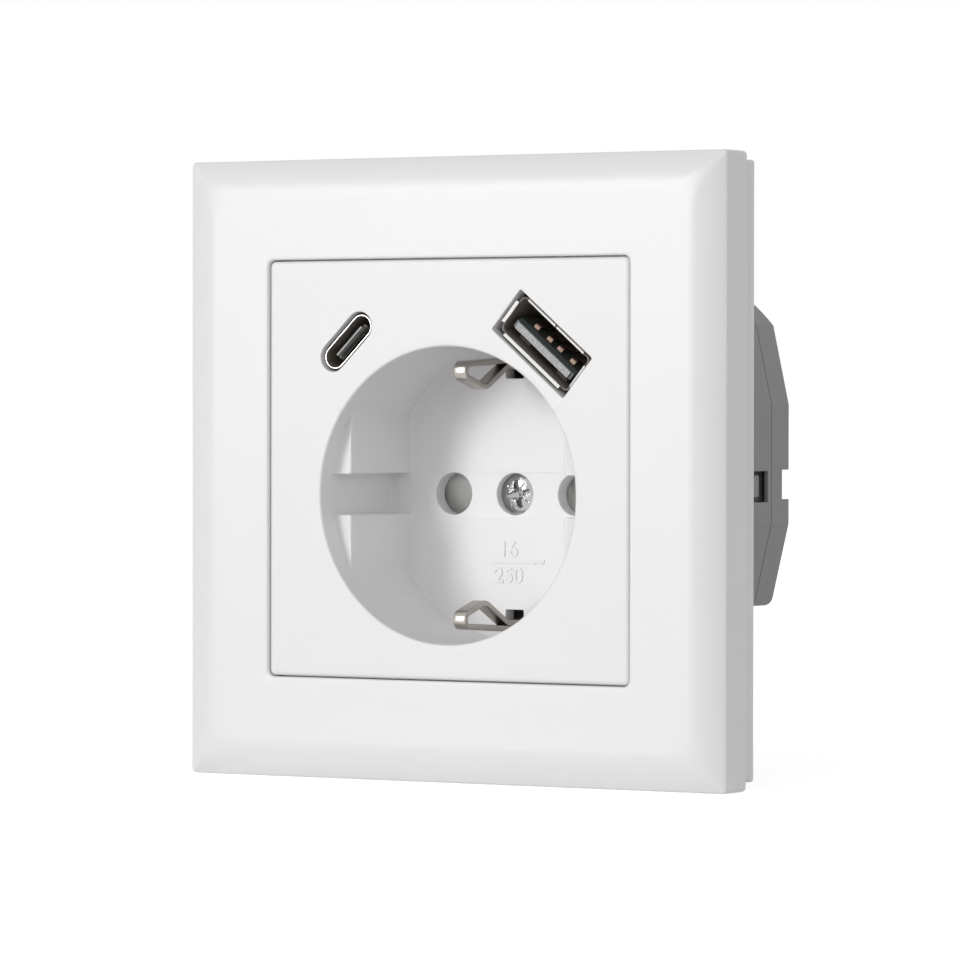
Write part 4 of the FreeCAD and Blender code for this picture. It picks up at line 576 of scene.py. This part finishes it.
tree.links.new(tone.outputs[2], shader.inputs["Base Color"])
grit = add(tree, "Bump", {"Height": cloud.outputs["Fac"], "Strength": 0.3, "Distance": 0.00002})
tree.links.new(grit.outputs[0], shader.inputs["Normal"])


def profile_bar(outline, half_x, edge=0.06):
    """A bar along X with a (y, z) outline, its ends set in by the edge where they turn over."""
    loop = np.asarray(outline, float)
    middle = loop.mean(axis=0)
    rings = []
    for x, shrink in ((-half_x, edge), (-half_x + edge, 0.0), (half_x - edge, 0.0), (half_x, edge)):
        away = loop - middle
        drawn = middle + away * (1 - shrink / np.linalg.norm(away, axis=1))[:, None]
        rings.append(np.column_stack([np.full(len(loop), x), drawn]))
    return with_ends(np.stack(rings))


nose = rounded_path([(-9.25, -1.54, 0.1), (-9.25, -0.52, 0.1), (-8.2, -0.52, 0), (-8.2, -1.54, 0)],
                    closed=True, steps=3)
make_piece("usb_a_tongue_nose", profile_bar(nose, 5.1), nose_pale, matrix=flat_place)
body = rounded_path([(-8.95, -1.52, 0.05), (-8.95, -0.50, 0.05), (-8.3, -0.12, 0.15), (3.5, -0.12, 0),
                     (3.5, -1.54, 0)], closed=True, steps=3)
make_piece("usb_a_tongue_body", profile_bar(body, 5.55), body_dark,
           replaces=["usb_a_tongue"], matrix=flat_place)

# Four spring contacts lie on the tongue and rise to a rounded crest near its nose.

contact_metal, tree, shader = new_finish("copper_alloy_gold_flashed", Metallic=1.0, Roughness=0.3)
place = add(tree, "TexCoord").outputs["Object"]
wear = add(tree, "TexNoise", {"Vector": place, "Scale": 1500.0, "Detail": 3.0})
tone = add(tree, "Mix", {0: wear.outputs["Fac"], 6: linear("#BCA292"), 7: linear("#8A7468")},
           data_type="RGBA")
tree.links.new(tone.outputs[2], shader.inputs["Base Color"])
bent = rounded_path([(3.4, 0.0, 0), (-4.6, 0.0, 1.0), (-6.4, 0.5, 0.55), (-7.35, 0.36, 0.3),
                     (-7.6, -0.42, 0)])
flat_contacts = []
for middle in (-3.3, -0.8, 1.2, 3.7):
    flat_contacts += carried_strip(bent, 0.9, 0.2, 0.06, middle)
make_piece("usb_a_contacts_bent", flat_contacts, contact_metal,
           replaces=["usb_a_contacts"], matrix=flat_place, smooth=50)

# Oval charging port
# Seamless shell drawn from one piece of steel. A thin tongue stands in it, with a pale nose, a dark body and
# a row of contacts on each side.

oval_place = port_place(*oval_port)
oval_rings = shell_rings(4.5, 1.63, 1.6299, 12,
                         [(0, 3.85), (0, -9.7), (-0.10, -10.0), (-0.13, -10.06), (-0.19, -10.06),
                          (-0.22, -10.0), (-shell_wall, -9.5), (-shell_wall, 3.55)])
oval_shell = [skin(oval_rings), filled(oval_rings[0]), filled(oval_rings[-1])]
make_piece("usb_c_shell_drawn", oval_shell, shell_metal,
           replaces=["usb_c_shell"], matrix=oval_place, smooth=50)
nose = rounded_path([(-9.7, 0.0, 0.05), (-9.7, 0.28, 0.05), (-8.4, 0.28, 0), (-8.4, 0.0, 0)],
                    closed=True, steps=3)
make_piece("usb_c_tongue_nose", profile_bar(nose, 2.68), nose_pale, matrix=oval_place)
body = rounded_path([(-8.8, -0.2, 0), (-8.8, 0.2, 0), (-8.4, 0.35, 0.1), (3.5, 0.35, 0), (3.5, -0.35, 0),
                     (-8.4, -0.35, 0.1)], closed=True, steps=3)
make_piece("usb_c_tongue_body", profile_bar(body, 3.0), body_dark,
           replaces=["usb_c_tongue"], matrix=oval_place)

# Housing, terminals and boards
# These nodes keep their CAD shapes. Mouldings are matt with the grit of their tools, sheet and strip have
# rolled, stamped or plated faces, and the parts on the boards are sleeved, dipped or fired.


def dress(material, *nodes):
    """Give CAD nodes one material."""
    for name in nodes:
        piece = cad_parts[name]
        piece.data.materials.clear()
        piece.data.materials.append(material)


def fine_grain(name, colour, shade, gloss, grit_mm, depth_mm, metallic=0.0):
    """Moulded, fired or sheet finish: two tones in clouds of 8 mm, and a bump with crests one grit apart."""
    material, tree, shader = new_finish(name, Roughness=gloss, Metallic=metallic)
    place = add(tree, "TexCoord").outputs["Object"]
    clouds = add(tree, "TexNoise", {"Vector": place, "Scale": 120.0, "Detail": 3.0})
    tone = add(tree, "Mix", {0: clouds.outputs["Fac"], 6: linear(colour), 7: linear(shade)}, data_type="RGBA")
    tree.links.new(tone.outputs[2], shader.inputs["Base Color"])
    grit = add(tree, "TexNoise", {"Vector": place, "Scale": 1000.0 / grit_mm, "Detail": 3.0})
    # Edges look rounded by 0.15 mm, as a moulding's or a blank's are.
    worn = add(tree, "Bevel", {"Radius": 0.00015}, samples=4)
    relief = add(tree, "Bump", {"Height": grit.outputs["Fac"], "Normal": worn.outputs[0], "Strength": 0.5,
                                "Distance": depth_mm / 1000})
    tree.links.new(relief.outputs[0], shader.inputs["Normal"])
    return material


# Name, two tones, roughness, grit and its depth in millimetres, metallic, then the nodes.
dress(fine_grain("polyamide_housing_spark_eroded", "#9B9B9D", "#949496", 0.55, 0.25, 0.02),
      "front_shell", "rear_cover")
dress(fine_grain("polyamide_carrier_moulded", "#8E8E90", "#868688", 0.5, 0.3, 0.015), "contact_carrier")
dress(fine_grain("polycarbonate_shutter_moulded", "#E4E4E1", "#DCDCD9", 0.4, 0.4, 0.01), "safety_shutter")
dress(fine_grain("polyamide_lever_orange", "#D0662A", "#C55E24", 0.45, 0.3, 0.01),
      "line_release", "neutral_release", "earth_release")
dress(fine_grain("zinc_plated_steel_sheet", "#C4C7CA", "#B2B6BA", 0.3, 0.5, 0.01, 1.0), "support_ring")
dress(fine_grain("brass_strip_stamped", "#D2A860", "#C49A54", 0.28, 0.2, 0.005, 1.0),
      "line_contact", "neutral_contact", "earth_link", "feed_pins")
dress(fine_grain("gold_flashed_contacts", "#9A9484", "#837D70", 0.35, 0.2, 0.005, 1.0), "usb_c_contacts")
dress(fine_grain("stainless_spring_strip", "#B6B8BA", "#A8AAAC", 0.25, 0.2, 0.005, 1.0),
      "line_clamp", "neutral_clamp", "earth_clamp", "shutter_spring")
dress(fine_grain("solder_mask_green", "#14532F", "#0F4727", 0.3, 0.6, 0.01),
      "usb_board", "power_board", "riser_board")
dress(fine_grain("ferrite_fired", "#2C2C2E", "#242426", 0.6, 0.15, 0.02),
      "transformer_core", "output_inductor")
dress(fine_grain("polyester_tape_yellow", "#D9B32C", "#CFA824", 0.3, 1.0, 0.01), "transformer_coil")
dress(fine_grain("sleeved_aluminium_can", "#20242F", "#1A1E29", 0.3, 0.8, 0.005),
      "input_capacitor", "output_capacitors")
dress(fine_grain("lacquered_ceramic", "#9A5A44", "#8E523D", 0.35, 0.4, 0.01), "input_fuse")
dress(fine_grain("dipped_epoxy_blue", "#2A5FA0", "#235594", 0.3, 0.7, 0.02), "suppression_capacitor")
dress(fine_grain("moulded_epoxy_black", "#1B1B1C", "#161617", 0.55, 0.12, 0.02),
      "bridge_rectifier", "controller_chips")

# Camera, light and background
# The camera stands at the photograph's place. One soft lamp lights the front from the left, a dim room lights
# the rest, and the backdrop is white to the camera and in reflections.

# Fitted to the corners of the plate, the frame and the recess in the photograph.
camera_place = (0.38937, -0.64445, 0.00808)
yaw, pitch, roll = math.radians(31.22), math.radians(0.72), math.radians(0.072)
backward = Vector((math.sin(yaw) * math.cos(pitch), -math.cos(yaw) * math.cos(pitch), math.sin(pitch)))
level = Vector((math.cos(yaw), math.sin(yaw), 0.0))
upright = backward.cross(level)
right = level * math.cos(roll) + upright * math.sin(roll)
above = upright * math.cos(roll) - level * math.sin(roll)
camera = bpy.data.objects.new("camera", bpy.data.cameras.new("camera"))
facing = Matrix((right, above, backward)).transposed().to_4x4()
camera.matrix_world = Matrix.Translation(camera_place) @ facing
camera.data.sensor_width = 36.0
camera.data.lens = 213.6
camera.data.clip_start = 0.01
scene.collection.objects.link(camera)
scene.camera = camera

world = bpy.data.worlds.new("studio")
scene.world = world
world.use_nodes = True
tree = world.node_tree
tree.nodes.clear()
# The room's brightness towards +X, +Y, +Z and towards -X, -Y, -Z. Between them it is the sum of each side's
# brightness times the square of the direction's part on that side.
room_plus = (0.90, 0.28, 0.08)
room_minus = (0.15, 1.06, 0.15)
direction = add(tree, "TexCoord").outputs["Generated"]
sides = []
for kept, brightness in (("MAXIMUM", room_plus), ("MINIMUM", room_minus)):
    part = add(tree, "VectorMath", {0: direction, 1: (0.0, 0.0, 0.0)}, operation=kept).outputs[0]
    square = add(tree, "VectorMath", {0: part, 1: part}, operation="MULTIPLY").outputs[0]
    share = add(tree, "VectorMath", {0: square, 1: brightness}, operation="DOT_PRODUCT")
    sides.append(share.outputs["Value"])
glow = add(tree, "Math", {0: sides[0], 1: sides[1]}, operation="ADD")
around = add(tree, "Background", {"Color": (1.0, 1.0, 1.0, 1.0), "Strength": glow.outputs[0]})
white = add(tree, "Background", {"Color": (1.0, 1.0, 1.0, 1.0), "Strength": 1.0})
paths = add(tree, "LightPath").outputs
seen = add(tree, "Math", {0: paths["Is Camera Ray"], 1: paths["Is Glossy Ray"]}, operation="MAXIMUM")
seen = add(tree, "Math", {0: seen.outputs[0], 1: paths["Is Transmission Ray"]}, operation="MAXIMUM")
chosen = add(tree, "MixShader", {0: seen.outputs[0], 1: around.outputs[0], 2: white.outputs[0]})
add(tree, "OutputWorld", {"Surface": chosen.outputs[0]})


def soft_light(name, place, aim, width, height, watts):
    """An area light at a place, facing its aim."""
    lamp = bpy.data.lights.new(name, "AREA")
    lamp.shape = "RECTANGLE"
    lamp.size, lamp.size_y = width, height
    lamp.energy = watts
    holder = bpy.data.objects.new(name, lamp)
    holder.location = place
    holder.rotation_euler = (Vector(aim) - Vector(place)).to_track_quat("-Z", "Y").to_euler()
    scene.collection.objects.link(holder)


soft_light("key_front_left", (-0.55, -1.06, 0.22), (0, 0, 0), 0.34, 0.52, 5.2)

# A pale matt floor just under the frame's lower edge. To the camera it is white but for the object's shadow.
floor_paint, tree, shader = new_finish("floor_paint_matt", Roughness=0.9)
place = add(tree, "TexCoord").outputs["Object"]
mottle = add(tree, "TexNoise", {"Vector": place, "Scale": 60.0, "Detail": 2.0})
tone = add(tree, "Mix", {0: mottle.outputs["Fac"], 6: linear("#E2E2E1"), 7: linear("#DCDCDB")},
           data_type="RGBA")
tree.links.new(tone.outputs[2], shader.inputs["Base Color"])
# What the lamp and the room leave short of white is added, to the camera and in reflections alone.
paths = add(tree, "LightPath").outputs
seen = add(tree, "Math", {0: paths["Is Camera Ray"], 1: paths["Is Glossy Ray"]}, operation="MAXIMUM")
seen = add(tree, "Math", {0: seen.outputs[0], 1: 0.75}, operation="MULTIPLY")
lift = add(tree, "Emission", {"Color": (1.0, 1.0, 1.0, 1.0), "Strength": seen.outputs[0]})
both = add(tree, "AddShader", {0: shader.outputs[0], 1: lift.outputs[0]})
tree.links.new(both.outputs[0], tree.nodes["Material Output"].inputs["Surface"])
floor_reach, floor_height = 40.0, -0.0411
corners = np.array([(-1, -1), (1, -1), (1, 1), (-1, 1)]) * floor_reach
mesh = bpy.data.meshes.new("floor")
mesh.from_pydata(np.column_stack([corners, np.full(4, floor_height)]).tolist(), [], [(0, 1, 2, 3)])
mesh.materials.append(floor_paint)
floor = bpy.data.objects.new("floor", mesh)
scene.collection.objects.link(floor)
